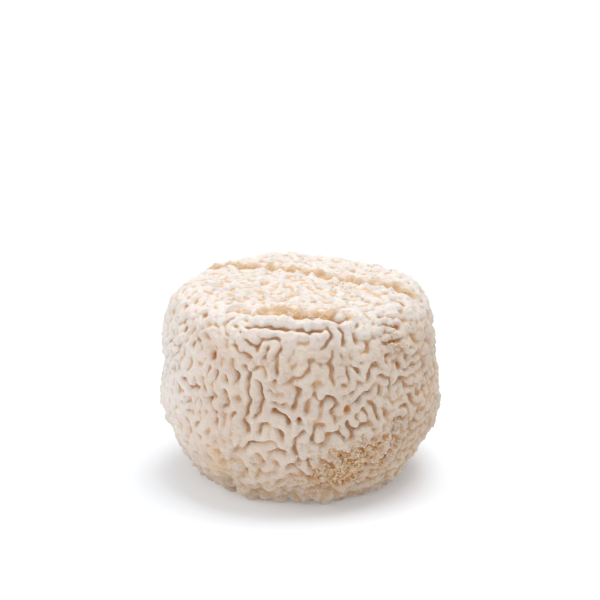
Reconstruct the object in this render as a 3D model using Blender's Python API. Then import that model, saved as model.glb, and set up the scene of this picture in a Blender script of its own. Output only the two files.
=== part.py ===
"""A crottin: one small, squat drum of ripened goat's cheese with a wrinkled natural rind.

The drum is turned from an outline, given the slow swells and hollows of a hand-moulded cheese,
and its skin then grows plump ridges and narrow grooves, as a ripening rind does. Sizes are in
millimetres until the mesh is filled in. Azimuth 0 is the front, toward -Y, and grows toward +X.
A place on the skin is an azimuth and a run, the distance along the outline from the top's centre.
"""

import math
from typing import NamedTuple

import bmesh
import bpy
import numpy as np

MM = 0.001

# Outline of the drum, from the crown over the shoulder, waist and belly to the foot.
HEIGHT = 35.2
CROWN_DROP = 0.2
TOP_RADIUS = 15.5
WAIST_RADIUS = 24.1
WAIST_HEIGHT = 22.0
BELLY_RADIUS = 24.7
BELLY_HEIGHT = 15.0
FOOT_RADIUS = 15.0
SHOULDER_ROUNDNESS = 2.5
UNDERSIDE_ROUNDNESS = 1.6
OUTLINE_STEPS = 60

# The skin is a grid of this many cells along each side of a cube blown out into the drum,
# thinned to so many triangles once its wrinkles are in.
CELLS = 128
TRIANGLES = 11600

# Runs at which the top turns into the shoulder, the shoulder into the side, the side into the
# foot, and the foot into the flat that the drum rests on.
TOP_END = 19.0
SHOULDER_RUN = 22.0
SIDE_START, SIDE_END = 25.0, 56.0
SIDE_BLEND = 4.0
FOOT_RUN, FOOT_BAND = 54.0, 3.0
TOE_RUN, TOE_BAND = 56.5, 1.2
REST_RUN = 57.4
REST_BLEND = 0.5
PRESSED_RUN = 59.4
FOOT_SLACK = 0.06

# Growth of the wrinkles. What lies near a point pushes it up, the wider ring holds it down.
GROWTH_ROUNDS = 7
NEIGHBOUR_REACH = 0.30
SELF_SHARE = 0.2
PUSH_ALONG, HOLD_ALONG = 0.75, 0.3
START_UNREST = 0.6

# The wrinkles run up the side, turned this way and that, and round the rim at the shoulder.
LAY_HOLD, RIM_HOLD, LEAST_HOLD = 0.8, 0.9, 0.1
RIM_TURN, RIM_BAND = 1.5, 2.6

# Relief of the wrinkles, and how much of it the top and the tighter wrinkles have.
RELIEF = 0.50
TOP_SHARE = 0.72
TIGHT_LOSS = 0.25
TIGHT_OVER_PLUMP = 0.22
LEAST_RELIEF, MOST_RELIEF = 0.45, 1.6
RIDGE_POWER = 0.78
SHARP_POWER = 0.55
SOFTENING = 2
PINCH = 0.08

# Creases that can be told apart are dug first, and the wrinkles grow around them.
CREASE_WIDTH = 0.33
CREASE_DIG, CREASE_LIP = 2.3, 0.75
CREASE_CUT, CREASE_BEAD = 0.26, 0.12
LIP_AWAY, LIP_WIDTH = 1.0, 0.42
CREASE_STEP = 0.3
CREASE_END_DEPTH = 0.55
BANK_RISE, BANK_REACH = 0.34, 1.05

# The top and parts of the sides are crumpled instead, with few wrinkles in between.
GROWN_UNDER = 0.35

PIT_DIG, PIT_LIP = 2.0, 0.6
PIT_CUT = 0.7

RIND_COLOUR = (0.80, 0.70, 0.60, 1.0)
RIND_ROUGHNESS = 0.8


class Bumps(NamedTuple):
    """Unordered bumps of one wavelength, as a sum of plane waves in all directions."""

    wavelength: float
    height: float
    waves: int
    seed: int

    def over(self, points):
        """Their height at each point."""
        draw = np.random.default_rng(self.seed)
        wave = draw.normal(size=(self.waves, 3))
        wave *= (2 * math.pi / self.wavelength) / np.linalg.norm(wave, axis=1)[:, None]
        start = draw.uniform(0, 2 * math.pi, self.waves)
        total = np.zeros(len(points))
        for vector, offset in zip(wave, start):
            total += np.cos(points @ vector + offset)
        return total * self.height / math.sqrt(self.waves / 2)


class Growth(NamedTuple):
    """A kind of wrinkle: how wide what pushes and what holds are, and how readily ridges win."""

    near: int
    ring: int
    wavelength: float
    seed: int
    bias: float
    gain: float


class Crumpling(NamedTuple):
    """Thin ridges round smooth pockets, along the middle level of unordered bumps."""

    folds: Bumps
    jags: Bumps
    height: float
    ridge: float
    drawn_out: float = 1.0

    def over(self, points):
        """The ridges' height over the pockets at each point, evened out."""
        level = self.folds.over(points * (1, 1, self.drawn_out)) + self.jags.over(points)
        return self.height * (bell(level, self.ridge) - 0.5)


class Crease(NamedTuple):
    """A groove from one place on the skin to another. A fold has a bank behind its groove."""

    turn_a: float
    run_a: float
    turn_b: float
    run_b: float
    bow: float = 0.0
    depth: float = 1.0
    width: float = CREASE_WIDTH
    bank: float = 0.0


class Pit(NamedTuple):
    """A small round hole in the rind."""

    turn: float
    run: float
    radius: float
    depth: float


class Swell(NamedTuple):
    """A broad push outward, or inward where it is negative."""

    turn: float
    run: float
    radius: float
    push: float


class Patch(NamedTuple):
    """A stretch of skin where something is stronger, or weaker where it is negative."""

    turn: float
    run: float
    wide: float
    tall: float
    amount: float


SLOW_LUMPS = Bumps(26.0, 0.22, waves=24, seed=3)
QUICK_LUMPS = Bumps(11.0, 0.13, waves=32, seed=4)
FOOT_SCALLOPS = Bumps(5.0, 0.35, waves=32, seed=8)
TOES = Bumps(3.6, 0.35, waves=48, seed=9)
LAY_TURNS = Bumps(9.0, 0.85, waves=32, seed=5)
UNREST = (Bumps(1.9, 0.35, waves=60, seed=11), Bumps(3.1, 0.25, waves=60, seed=12))
OPENNESS = Bumps(5.5, 0.34, waves=48, seed=13)
TIGHTNESS = Bumps(10.0, 0.45, waves=32, seed=31)
STRENGTH = Bumps(7.0, 0.28, waves=32, seed=41)
SHARPNESS = Bumps(13.0, 0.55, waves=32, seed=43)

PLUMP = Growth(near=3, ring=7, wavelength=2.45, seed=7, bias=0.30, gain=4.4)
TIGHT = Growth(near=1, ring=4, wavelength=1.7, seed=17, bias=0.24, gain=5.1)

TOP_CRUMPLING = Crumpling(
    Bumps(6.0, 1.0, waves=60, seed=51), Bumps(2.2, 0.3, waves=60, seed=52), height=0.6, ridge=0.35
)
SIDE_CRUMPLING = Crumpling(
    Bumps(3.4, 1.0, waves=60, seed=53),
    Bumps(1.4, 0.3, waves=60, seed=54),
    height=0.7,
    ridge=0.38,
    drawn_out=0.6,
)
CRUMPLED_PATCHES = (
    Patch(64, 34, 20, 13, 0.9),
    Patch(-76, 33, 20, 14, 0.9),
    Patch(-45, 24, 14, 3.5, 0.6),
    Patch(44, 25, 12, 3.5, 0.7),
    Patch(0, 55, 400, 2.0, 0.5),
)

LAY_PATCHES = (Patch(38, 33, 13, 7, 0.7), Patch(50, 47, 16, 6, -0.9))
TIGHT_PATCHES = (Patch(50, 40, 28, 12, 0.9), Patch(-12, 40, 24, 12, -0.95))
SHARP_PATCHES = (Patch(-12, 40, 24, 12, -0.7),)
FAINT_PATCH = Patch(-41, 48, 7, 4, -0.65)
TOP_TIGHTNESS, TOP_SHARPNESS = -0.6, 0.35

TOP_CREASES = (
    Crease(-118.0, 19.0, 130.0, 4.5, bow=0.8, depth=1.6, width=0.70, bank=0.95),
    Crease(130.0, 4.5, 71.0, 20.0, bow=-0.9, depth=1.6, width=0.70, bank=1.15),
    Crease(-40.0, 18.3, -25.5, 18.6, bow=0.2, depth=0.8, width=0.60, bank=0.3),
    Crease(-25.5, 18.6, 0.0, 19.3, bow=0.2, depth=1.3, width=0.70, bank=0.6),
    Crease(0.0, 19.3, 22.3, 20.3, bow=0.2, depth=1.3, width=0.70, bank=0.6),
    Crease(-27.0, 21.7, -3.0, 21.7, bow=0.3, depth=1.0),
    Crease(-3.0, 21.7, 11.0, 21.6, bow=-0.2, depth=1.0),
)
SHOULDER_CREASES = (
    Crease(-30.8, 25.4, -21.8, 26.8),
    Crease(-24.0, 24.1, -19.2, 25.4, depth=0.9),
    Crease(-18.7, 24.7, -9.3, 23.4, bow=0.8, depth=0.9),
    Crease(12.5, 21.3, 8.8, 24.8, bow=0.9, depth=1.2),
    Crease(17.8, 21.7, 17.8, 24.9, bow=0.6, depth=1.1),
    Crease(37.2, 25.1, 50.3, 25.5, bow=-0.5, depth=1.1),
)
LEFT_CREASES = (
    Crease(-58.4, 33.6, -49.3, 34.7, bow=-0.6),
    Crease(-41.6, 35.6, -36.7, 37.7, depth=0.9),
    Crease(-37.7, 30.3, -40.1, 33.0, depth=0.8),
    Crease(-24.3, 28.3, -22.7, 30.7, bow=0.6),
    Crease(-20.2, 28.8, -13.6, 30.1, bow=1.2, depth=0.8),
    Crease(-18.1, 30.6, -18.8, 37.1, bow=1.0),
    Crease(-22.2, 32.8, -23.5, 37.4, bow=0.5),
    Crease(-23.5, 37.4, -20.4, 39.9, bow=-0.5),
    Crease(-16.6, 38.5, -13.3, 38.2, depth=0.9),
    Crease(-23.9, 43.5, -16.3, 41.8, bow=0.8, depth=0.9),
)
FRONT_CREASES = (
    Crease(-9.1, 25.3, -9.7, 29.3, bow=-0.3, depth=0.9),
    Crease(-6.2, 30.6, 2.8, 28.7, bow=-0.2, depth=0.9),
    Crease(-0.8, 31.8, -3.6, 35.4, bow=0.2, depth=0.9),
    Crease(-11.3, 36.0, -4.8, 37.8, bow=0.5, depth=1.1),
    Crease(-12.8, 43.5, -6.1, 43.1, bow=0.3, depth=1.1),
    Crease(0.6, 39.2, -1.9, 43.7, bow=-0.9),
    Crease(4.7, 32.9, 8.1, 34.7, bow=0.4, depth=0.8),
    Crease(4.4, 41.1, 8.8, 38.1, bow=0.7, depth=0.9),
)
RIGHT_CREASES = (
    Crease(13.6, 25.4, 13.0, 31.5, bow=-0.4),
    Crease(10.2, 33.1, 15.4, 34.8),
    Crease(15.4, 34.8, 13.0, 36.9, bow=-0.9),
    Crease(10.4, 40.2, 18.0, 41.7, bow=0.9, depth=0.9),
    Crease(18.2, 38.0, 21.8, 41.3),
    Crease(21.3, 39.3, 28.9, 38.7, bow=-0.3, depth=1.1),
    Crease(23.6, 34.9, 29.0, 33.4, bow=0.4, depth=1.1),
    Crease(29.1, 35.5, 32.2, 38.2, bow=0.5, depth=1.1),
    Crease(33.2, 28.5, 28.8, 31.5, bow=-0.7, depth=1.1),
    Crease(33.2, 30.9, 40.7, 33.2, bow=0.8, depth=0.9),
    Crease(40.7, 33.2, 47.8, 32.5, bow=0.3, depth=0.9),
    Crease(39.4, 27.6, 38.4, 29.3, bow=-0.4),
)
CREASES = TOP_CREASES + SHOULDER_CREASES + LEFT_CREASES + FRONT_CREASES + RIGHT_CREASES

PITS = (
    Pit(-41.0, 28.0, radius=0.55, depth=0.9),
    Pit(-31.5, 35.0, radius=0.35, depth=0.5),
    Pit(-11.3, 36.0, radius=0.40, depth=0.5),
    Pit(-5.0, 37.7, radius=0.40, depth=0.5),
    Pit(-1.0, 37.2, radius=0.38, depth=0.8),
    Pit(18.8, 35.9, radius=0.50, depth=0.8),
    Pit(45.3, 30.3, radius=0.45, depth=0.6),
    Pit(48.8, 23.3, radius=0.55, depth=0.7),
    Pit(38.2, 47.1, radius=0.55, depth=0.8),
    Pit(57.6, 53.7, radius=0.80, depth=0.7),
)

SWELLS = (
    Swell(-86.0, 40.0, radius=2.4, push=0.15),
    Swell(-88.0, 21.5, radius=4.0, push=0.8),
    Swell(-118.0, 19.0, radius=6.0, push=-0.5),
    Swell(-60.0, 52.0, radius=6.0, push=-0.3),
    Swell(-42.5, 55.0, radius=1.8, push=-0.9),
    Swell(-12.0, 22.6, radius=3.2, push=0.35),
    Swell(0.0, 12.5, radius=9.0, push=-0.3),
    Swell(8.0, 22.6, radius=3.0, push=0.35),
    Swell(15.0, 22.5, radius=2.2, push=0.4),
    Swell(55.0, 36.0, radius=6.0, push=0.3),
    Swell(72.0, 50.0, radius=8.0, push=-1.2),
    Swell(84.0, 42.0, radius=6.0, push=0.5),
    Swell(86.0, 30.0, radius=5.0, push=-1.0),
    Swell(104.0, 20.5, radius=4.0, push=0.3),
    Swell(138.0, 18.5, radius=6.0, push=-0.4),
    Swell(175.0, 16.0, radius=9.0, push=-0.3),
)


def bell(distance, radius):
    """A smooth bump: 1 at no distance, 0.6 at the radius, and soon nothing."""
    return np.exp(-((distance / radius) ** 2) / 2)


def fade(value, middle, softness):
    """Falls from 1 to 0 as the value passes the middle."""
    return 1 / (1 + np.exp((value - middle) / softness))


def rounded_corner(wide, tall, roundness):
    """A quarter of a superellipse, from (0, tall) round to (wide, 0)."""
    angle = np.linspace(0, math.pi / 2, OUTLINE_STEPS)
    power = 2 / roundness
    return wide * np.sin(angle) ** power, tall * np.cos(angle).clip(0) ** power


def outline():
    """The turned outline's radii and heights, from the top's centre to the foot's."""
    share = np.linspace(0, 1, OUTLINE_STEPS)
    side_drop = HEIGHT - CROWN_DROP - WAIST_HEIGHT
    shoulder, rise = rounded_corner(WAIST_RADIUS - TOP_RADIUS, side_drop, SHOULDER_ROUNDNESS)
    under, sink = rounded_corner(BELLY_RADIUS - FOOT_RADIUS, BELLY_HEIGHT, UNDERSIDE_ROUNDNESS)
    flare = (BELLY_RADIUS - WAIST_RADIUS) * (1 - np.cos(math.pi * share)) / 2
    stretches = (
        (TOP_RADIUS * share, HEIGHT - CROWN_DROP * share**2),
        (TOP_RADIUS + shoulder, WAIST_HEIGHT + rise),
        (WAIST_RADIUS + flare, WAIST_HEIGHT + (BELLY_HEIGHT - WAIST_HEIGHT) * share),
        (FOOT_RADIUS + under[::-1], BELLY_HEIGHT - sink[::-1]),
        (FOOT_RADIUS * (1 - share), np.zeros(OUTLINE_STEPS)),
    )
    points = np.concatenate([np.stack(stretch, -1) for stretch in stretches])
    moved = np.linalg.norm(np.diff(points, axis=0), axis=1) > 1e-9
    return points[np.concatenate([[True], moved])]


def gridded_cube():
    """A mesh of a 2-unit cube with each side cut into a grid of cells."""
    shell = bmesh.new()
    bmesh.ops.create_cube(shell, size=2)
    bmesh.ops.subdivide_edges(shell, edges=shell.edges[:], cuts=CELLS - 1, use_grid_fill=True)
    bmesh.ops.recalc_face_normals(shell, faces=shell.faces[:])
    mesh = bpy.data.meshes.new("crottin")
    shell.to_mesh(mesh)
    shell.free()
    return mesh


def normals(points, quads):
    """The outward direction at each point."""
    across = points[quads[:, 2]] - points[quads[:, 0]]
    other = points[quads[:, 3]] - points[quads[:, 1]]
    facing = np.cross(across, other)
    total = np.zeros_like(points)
    for corner in range(4):
        for axis in range(3):
            total[:, axis] += np.bincount(quads[:, corner], facing[:, axis], len(points))
    return total / np.linalg.norm(total, axis=1)[:, None]


class Skin:
    """The turned drum's surface: its points, its quads, and each point's azimuth and run."""

    def __init__(self, cube):
        corners = np.empty(3 * len(cube.vertices), np.float32)
        cube.vertices.foreach_get("co", corners)
        way = np.tan(corners.astype(float).reshape(-1, 3) * math.pi / 4)
        way /= np.linalg.norm(way, axis=1)[:, None]
        self.quads = np.empty(4 * len(cube.polygons), np.int32)
        cube.polygons.foreach_get("vertices", self.quads)
        self.quads = self.quads.reshape(-1, 4)

        self.line = outline()
        steps = np.linalg.norm(np.diff(self.line, axis=0), axis=1)
        self.length = np.concatenate([[0], np.cumsum(steps)])
        self.azimuth = np.arctan2(way[:, 0], -way[:, 1])
        self.run = np.arccos(np.clip(way[:, 2], -1, 1)) / math.pi * self.length[-1]
        self.points = self.place(self.azimuth, self.run)

    def place(self, azimuth, run):
        """The point at this azimuth, in radians, and run."""
        radius = np.interp(run, self.length, self.line[:, 0])
        height = np.interp(run, self.length, self.line[:, 1])
        return np.stack([radius * np.sin(azimuth), -radius * np.cos(azimuth), height], -1)

    def reach(self, spot):
        """How far each point is from a pit's or a swell's centre."""
        centre = self.place(math.radians(spot.turn), spot.run)
        return np.linalg.norm(self.points - centre, axis=1)

    def share(self, patch):
        """How much of a patch each point has."""
        aside = (np.degrees(self.azimuth) - patch.turn + 180) % 360 - 180
        return patch.amount * bell(aside, patch.wide) * bell(self.run - patch.run, patch.tall)

    def settle(self, places, on_top):
        """These places moved onto the drum: upright on its top, level on its sides."""
        radius = np.linalg.norm(places[:, :2], axis=1)
        upper = self.line[:, 1] > BELLY_HEIGHT
        if on_top:
            height = np.interp(radius, self.line[upper, 0], self.line[upper, 1])
            return np.column_stack([places[:, :2], height])
        outer = np.interp(-places[:, 2], -self.line[:, 1], self.line[:, 0])
        return np.column_stack([places[:, :2] * (outer / radius)[:, None], places[:, 2]])

    def path(self, crease):
        """Places along a crease, bowed to one side, and how far along it each is, from 0 to 1."""
        start = self.place(math.radians(crease.turn_a), crease.run_a)
        end = self.place(math.radians(crease.turn_b), crease.run_b)
        span = end - start
        on_top = max(crease.run_a, crease.run_b) < SHOULDER_RUN - 1
        outward = (start + end) / 2 - (0, 0, BELLY_HEIGHT)
        side = np.cross((0.0, 0.0, 1.0) if on_top else outward, span)
        side /= np.linalg.norm(side)
        along = np.linspace(0, 1, max(3, int(np.linalg.norm(span) / CREASE_STEP)))
        bend = crease.bow * 4 * along * (1 - along)
        return self.settle(start + span * along[:, None] + side * bend[:, None], on_top), along

    def creases(self):
        """Where each point lies against its nearest crease, as if all had one width.

        Gives its distance, the crease's depth there, and the height of the bank behind it.
        """
        nearest = np.full(len(self.points), np.inf)
        depth, bank = np.zeros((2, len(self.points)))
        for crease in CREASES:
            for place, along in zip(*self.path(crease)):
                from_here = self.points - place
                away = np.linalg.norm(from_here, axis=1)
                behind = np.clip(from_here[:, 1] / np.maximum(away, 1e-6), 0, 1)
                away = away * CREASE_WIDTH / crease.width
                closer = away < nearest
                fullness = min(1.0, CREASE_END_DEPTH + 4 * along * (1 - along))
                depth[closer] = crease.depth * fullness
                bank[closer] = crease.bank * fullness * behind[closer]
                nearest = np.minimum(away, nearest)
        return nearest, depth, bank * (1 - bell(nearest, BANK_RISE)) * bell(nearest, BANK_REACH)


class Neighbours:
    """Links each point to the eight around it, favouring those along the lay of the wrinkles."""

    def __init__(self, points, quads, lay, hold):
        pairs = ((0, 1), (1, 2), (2, 3), (3, 0), (0, 2), (1, 3))
        ends = np.concatenate([quads[:, pair] for pair in pairs])
        ends = np.unique(np.concatenate([ends, ends[:, ::-1]]), axis=0)
        self.here, self.there = ends[:, 0], ends[:, 1]
        self.count = len(points)
        self.step = points[self.there] - points[self.here]
        self.length = np.linalg.norm(self.step, axis=1)
        along = (self.step * lay[self.here]).sum(1) / self.length
        self.weight = bell(self.length, NEIGHBOUR_REACH)
        self.lean = hold[self.here] * (2 * along**2 - 1)

    def gather(self, values):
        """The sum over each point's links."""
        return np.bincount(self.here, values, self.count)

    def spread(self, field, rounds, preference=0.0):
        """The field averaged with its surroundings so many times over."""
        weight = self.weight * (1 + preference * self.lean)
        total = self.gather(weight)
        for _ in range(rounds):
            around = self.gather(weight * field[self.there]) / total
            field = SELF_SHARE * field + (1 - SELF_SHARE) * around
        return field

    def slope(self, field):
        """The uphill direction of the field, as long as it is steep."""
        rise = (field[self.there] - field[self.here]) / self.length**2
        sums = [self.gather(rise * self.step[:, axis]) for axis in range(3)]
        return np.stack(sums, -1) * (2 / self.gather(np.ones_like(rise)))[:, None]

    def grown(self, points, growth, urge):
        """The ridges, near 1, and grooves, near -1, that one kind of growth ends in."""
        state = Bumps(growth.wavelength, START_UNREST, waves=60, seed=growth.seed).over(points)
        for _ in range(GROWTH_ROUNDS):
            push = self.spread(state, growth.near, PUSH_ALONG)
            hold = self.spread(push, growth.ring, HOLD_ALONG)
            state = np.tanh(growth.gain * (push - hold) + growth.bias + urge)
        return self.spread(state, growth.near, PUSH_ALONG)


def moulded(skin, relief_share):
    """The drum's points with its slow swells, its hollows and the scallops of its foot."""
    push = SLOW_LUMPS.over(skin.points) + QUICK_LUMPS.over(skin.points)
    push += FOOT_SCALLOPS.over(skin.points) * bell(skin.run - FOOT_RUN, FOOT_BAND)
    push += TOES.over(skin.points) * bell(skin.run - TOE_RUN, TOE_BAND)
    for swell in SWELLS:
        push += swell.push * bell(skin.reach(swell), swell.radius)
    return skin.points + normals(skin.points, skin.quads) * (push * relief_share)[:, None]


def lay_of_wrinkles(skin, points, outward, on_side):
    """The direction that the wrinkles follow at each point, and how firmly they follow it."""
    up = np.array([0.0, 0.0, 1.0]) - outward * outward[:, 2:]
    up /= np.maximum(np.linalg.norm(up, axis=1), 1e-6)[:, None]
    aside = np.cross(outward, up)
    at_rim = bell(skin.run - SHOULDER_RUN, RIM_BAND)
    turn = LAY_TURNS.over(points) + at_rim * RIM_TURN + sum(map(skin.share, LAY_PATCHES))
    lay = up * np.cos(turn)[:, None] + aside * np.sin(turn)[:, None]
    hold = on_side * LAY_HOLD + at_rim * RIM_HOLD + LEAST_HOLD
    return lay, np.clip(hold, 0, 1)


def wrinkled(skin, points, relief_share):
    """The moulded drum with its wrinkles, creases and pits."""
    outward = normals(points, skin.quads)
    rise = np.clip((skin.run - SIDE_START) / SIDE_BLEND, 0, 1)
    on_side = rise * np.clip((SIDE_END - skin.run) / SIDE_BLEND, 0, 1)
    on_top = fade(skin.run, TOP_END, 1)
    links = Neighbours(points, skin.quads, *lay_of_wrinkles(skin, points, outward, on_side))
    nearest, depth, bank = skin.creases()
    crumpled = np.clip(sum(map(skin.share, CRUMPLED_PATCHES)), 0, 1) * (1 - on_top)

    urge = OPENNESS.over(points) + sum(bumps.over(points) for bumps in UNREST)
    urge += depth * CREASE_LIP * bell(nearest - LIP_AWAY, LIP_WIDTH)
    urge -= depth * CREASE_DIG * bell(nearest, CREASE_WIDTH)
    for pit in PITS:
        away = skin.reach(pit) / pit.radius
        urge += PIT_LIP * bell(away - 2.2, 0.8) - PIT_DIG * bell(away, 1)

    tightness = 0.5 + TIGHTNESS.over(points) + sum(map(skin.share, TIGHT_PATCHES))
    tightness = np.clip(tightness + on_top * TOP_TIGHTNESS, 0, 1)
    plump = links.grown(points, PLUMP, urge)
    tight = links.grown(points, TIGHT, urge)
    tight_share = tightness + TIGHT_OVER_PLUMP * (1 - tightness)
    ridges = plump * (1 - tightness) + tight * tight_share

    sharpness = 0.5 + SHARPNESS.over(points) + sum(map(skin.share, SHARP_PATCHES))
    sharpness = np.clip(sharpness + on_top * TOP_SHARPNESS, 0, 1)
    power = RIDGE_POWER + SHARP_POWER * sharpness
    strength = np.clip(1 + STRENGTH.over(points), LEAST_RELIEF, MOST_RELIEF)
    strength *= (1 - (1 - TOP_SHARE) * on_top) * (1 - TIGHT_LOSS * tightness)
    strength *= 1 + skin.share(FAINT_PATCH)
    strength *= 1 - (1 - GROWN_UNDER) * (on_top + crumpled)
    height = RELIEF * strength * (2 * np.clip((ridges + 1) / 2, 0, None) ** power - 1)
    height += on_top * TOP_CRUMPLING.over(points) + crumpled * SIDE_CRUMPLING.over(points)
    height += depth * CREASE_BEAD * bell(nearest - LIP_AWAY, LIP_WIDTH) + bank
    height -= depth * CREASE_CUT * bell(nearest, CREASE_WIDTH)
    for pit in PITS:
        height -= PIT_CUT * pit.depth * bell(skin.reach(pit), pit.radius)
    height = links.spread(height, SOFTENING) * relief_share

    slope = links.slope(height / RELIEF)
    slope -= outward * (slope * outward).sum(1)[:, None]
    return points + outward * height[:, None] - slope * (PINCH * relief_share)[:, None]


def rested(skin, points):
    """The foot pressed flat on the ground, and the whole centred over it."""
    points[:, 2] = np.where(skin.run > PRESSED_RUN, 0, np.maximum(points[:, 2], 0))
    points[:, :2] -= (points[:, :2].min(0) + points[:, :2].max(0)) / 2
    return points


def levelled(mesh):
    """The thinned mesh with its foot flat again, which thinning leaves a hair uneven."""
    places = np.empty(3 * len(mesh.vertices), np.float32)
    mesh.vertices.foreach_get("co", places)
    height = places[2::3]
    height[height < FOOT_SLACK * MM] = 0
    mesh.vertices.foreach_set("co", places)
    mesh.update()
    return mesh


def rind_material():
    """Dry, pale, matt rind."""
    material = bpy.data.materials.new("rind")
    material.use_nodes = True
    shader = material.node_tree.nodes["Principled BSDF"]
    shader.inputs["Base Color"].default_value = RIND_COLOUR
    shader.inputs["Roughness"].default_value = RIND_ROUGHNESS
    return material


def main():
    for old in list(bpy.data.objects):
        bpy.data.objects.remove(old, do_unlink=True)
    mesh = gridded_cube()
    skin = Skin(mesh)
    relief_share = fade(skin.run, REST_RUN, REST_BLEND)
    points = moulded(skin, relief_share)
    points = rested(skin, wrinkled(skin, points, relief_share))
    mesh.vertices.foreach_set("co", (points * MM).astype(np.float32).ravel())
    mesh.shade_smooth()
    mesh.materials.append(rind_material())
    drum = bpy.data.objects.new("crottin", mesh)
    bpy.context.scene.collection.objects.link(drum)

    thinner = drum.modifiers.new("fewer faces", "DECIMATE")
    thinner.decimate_type = "COLLAPSE"
    thinner.ratio = TRIANGLES / (2 * len(skin.quads))
    thinner.use_collapse_triangulate = True
    thinned = drum.evaluated_get(bpy.context.evaluated_depsgraph_get())
    drum.data = levelled(bpy.data.meshes.new_from_object(thinned))
    drum.modifiers.clear()


main()
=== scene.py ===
"""The looks of a crottin: one small, squat drum of ripened goat's cheese on a pale floor.

The rind is one skin over the drum. It keeps the solid's outline, and its wrinkles are grown much
finer than the solid holds them: plump, winding ridges parted by soft hollows at the front, tighter
ones round pockets at the right, and low, crumpled folds on the top. Crumbs and flakes lie on it.
Sizes on the skin are in millimetres until its mesh is filled in. Azimuth 0 is the front, toward
-Y, and grows toward +X. A run is the distance along the turned outline from the top's centre.
"""

import logging
import math
from collections.abc import Iterable, Sequence
from dataclasses import dataclass, field
from enum import Enum

import bmesh
import bpy
import numpy as np
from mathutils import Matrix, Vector


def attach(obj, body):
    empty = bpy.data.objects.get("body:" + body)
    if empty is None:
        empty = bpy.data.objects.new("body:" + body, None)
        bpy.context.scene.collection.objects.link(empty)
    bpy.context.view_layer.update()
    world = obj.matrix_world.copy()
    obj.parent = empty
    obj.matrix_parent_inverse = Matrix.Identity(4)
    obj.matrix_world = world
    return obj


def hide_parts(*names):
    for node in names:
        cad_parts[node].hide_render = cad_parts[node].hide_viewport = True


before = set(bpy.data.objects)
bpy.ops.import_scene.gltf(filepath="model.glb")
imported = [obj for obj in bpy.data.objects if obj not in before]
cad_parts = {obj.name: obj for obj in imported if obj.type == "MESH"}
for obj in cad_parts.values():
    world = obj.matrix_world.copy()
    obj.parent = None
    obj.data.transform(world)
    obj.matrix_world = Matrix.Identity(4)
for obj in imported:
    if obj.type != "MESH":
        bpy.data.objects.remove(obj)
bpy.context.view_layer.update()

MM = 0.001
Colour = tuple[float, float, float, float]
Span = tuple[float, float]

log = logging.getLogger("crottin")


def bell(distance: np.ndarray, radius: float) -> np.ndarray:
    """A smooth bump over a distance.

    Args:
        distance: how far each point is from the middle.
        radius: where the bump has fallen to 0.6.

    Returns:
        1 at no distance, falling to nothing.
    """
    return np.exp(-((distance / radius) ** 2) / 2)


def fade(value: np.ndarray, middle: float, softness: float) -> np.ndarray:
    """A smooth fall from 1 to 0.

    Args:
        value: what is compared with the middle.
        middle: where the fall is half done.
        softness: how wide the fall is, in the value's own unit.

    Returns:
        1 well below the middle, 0 well above it.
    """
    return 1 / (1 + np.exp((value - middle) / softness))


def mix(share: np.ndarray, low: np.ndarray | float, high: np.ndarray | float) -> np.ndarray:
    """Goes from one value to another, point by point.

    Args:
        share: how far to go, from 0 to 1.
        low: the value at 0.
        high: the value at 1.

    Returns:
        The values in between.
    """
    return low * (1 - share) + high * share


def placed(name: str, data: bpy.types.ID) -> bpy.types.Object:
    """Puts a new object into the scene.

    Args:
        name: its name.
        data: its mesh, light or camera.

    Returns:
        The object.
    """
    thing = bpy.data.objects.new(name, data)
    bpy.context.scene.collection.objects.link(thing)
    return thing


def plain_material(name: str) -> bpy.types.Material:
    """A new material with a tree of its own."""
    material = bpy.data.materials.new(name)
    material.use_nodes = True
    return material


def tint(red: int, green: int, blue: int) -> Colour:
    """A colour that is given as on a screen, from 0 to 255, in Blender's linear scale.

    Args:
        red: the red share.
        green: the green share.
        blue: the blue share.

    Returns:
        The linear colour, opaque.
    """
    shares = (red / 255, green / 255, blue / 255)
    linear = [s / 12.92 if s <= 0.04045 else ((s + 0.055) / 1.055) ** 2.4 for s in shares]
    return (linear[0], linear[1], linear[2], 1.0)


@dataclass(frozen=True)
class Bumps:
    """Unordered bumps of one wavelength, as a sum of plane waves in all directions."""

    wavelength: float
    height: float
    waves: int
    seed: int

    def over(self, points: np.ndarray) -> np.ndarray:
        """Works out the bumps' height.

        Args:
            points: places in space, one a row.

        Returns:
            The height at each place.
        """
        draw = np.random.default_rng(self.seed)
        wave = draw.normal(size=(self.waves, 3))
        wave *= (2 * math.pi / self.wavelength) / np.linalg.norm(wave, axis=1)[:, None]
        start = draw.uniform(0, 2 * math.pi, self.waves)
        total = np.zeros(len(points))
        for vector, offset in zip(wave, start):
            total += np.cos(points @ vector + offset)
        return total * self.height / math.sqrt(self.waves / 2)


@dataclass(frozen=True)
class Crumpling:
    """Thin, jagged ridges round smooth pockets, as in crumpled tissue."""

    folds: Bumps
    jags: Bumps
    height: float
    ridge: float = 0.35
    drawn_out: float = 1.0

    def ridges(self, points: np.ndarray) -> np.ndarray:
        """Finds the ridges, which run where the bumps cross their middle level.

        Args:
            points: places in space, one a row.

        Returns:
            1 on the crests and 0 in the pockets.
        """
        level = self.folds.over(points * (1, 1, self.drawn_out)) + self.jags.over(points)
        return bell(level, self.ridge)


@dataclass(frozen=True)
class Growth:
    """A kind of wrinkle: how it grows, and how its grooves fall from brim to bottom."""

    near: int
    ring: int
    rounds: int
    wavelength: float
    seed: int
    bias: float
    gain: float
    brim: float = 0.0
    bottom: float = 3.0
    dent: float = 0.2
    cut: float = 0.3


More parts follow.
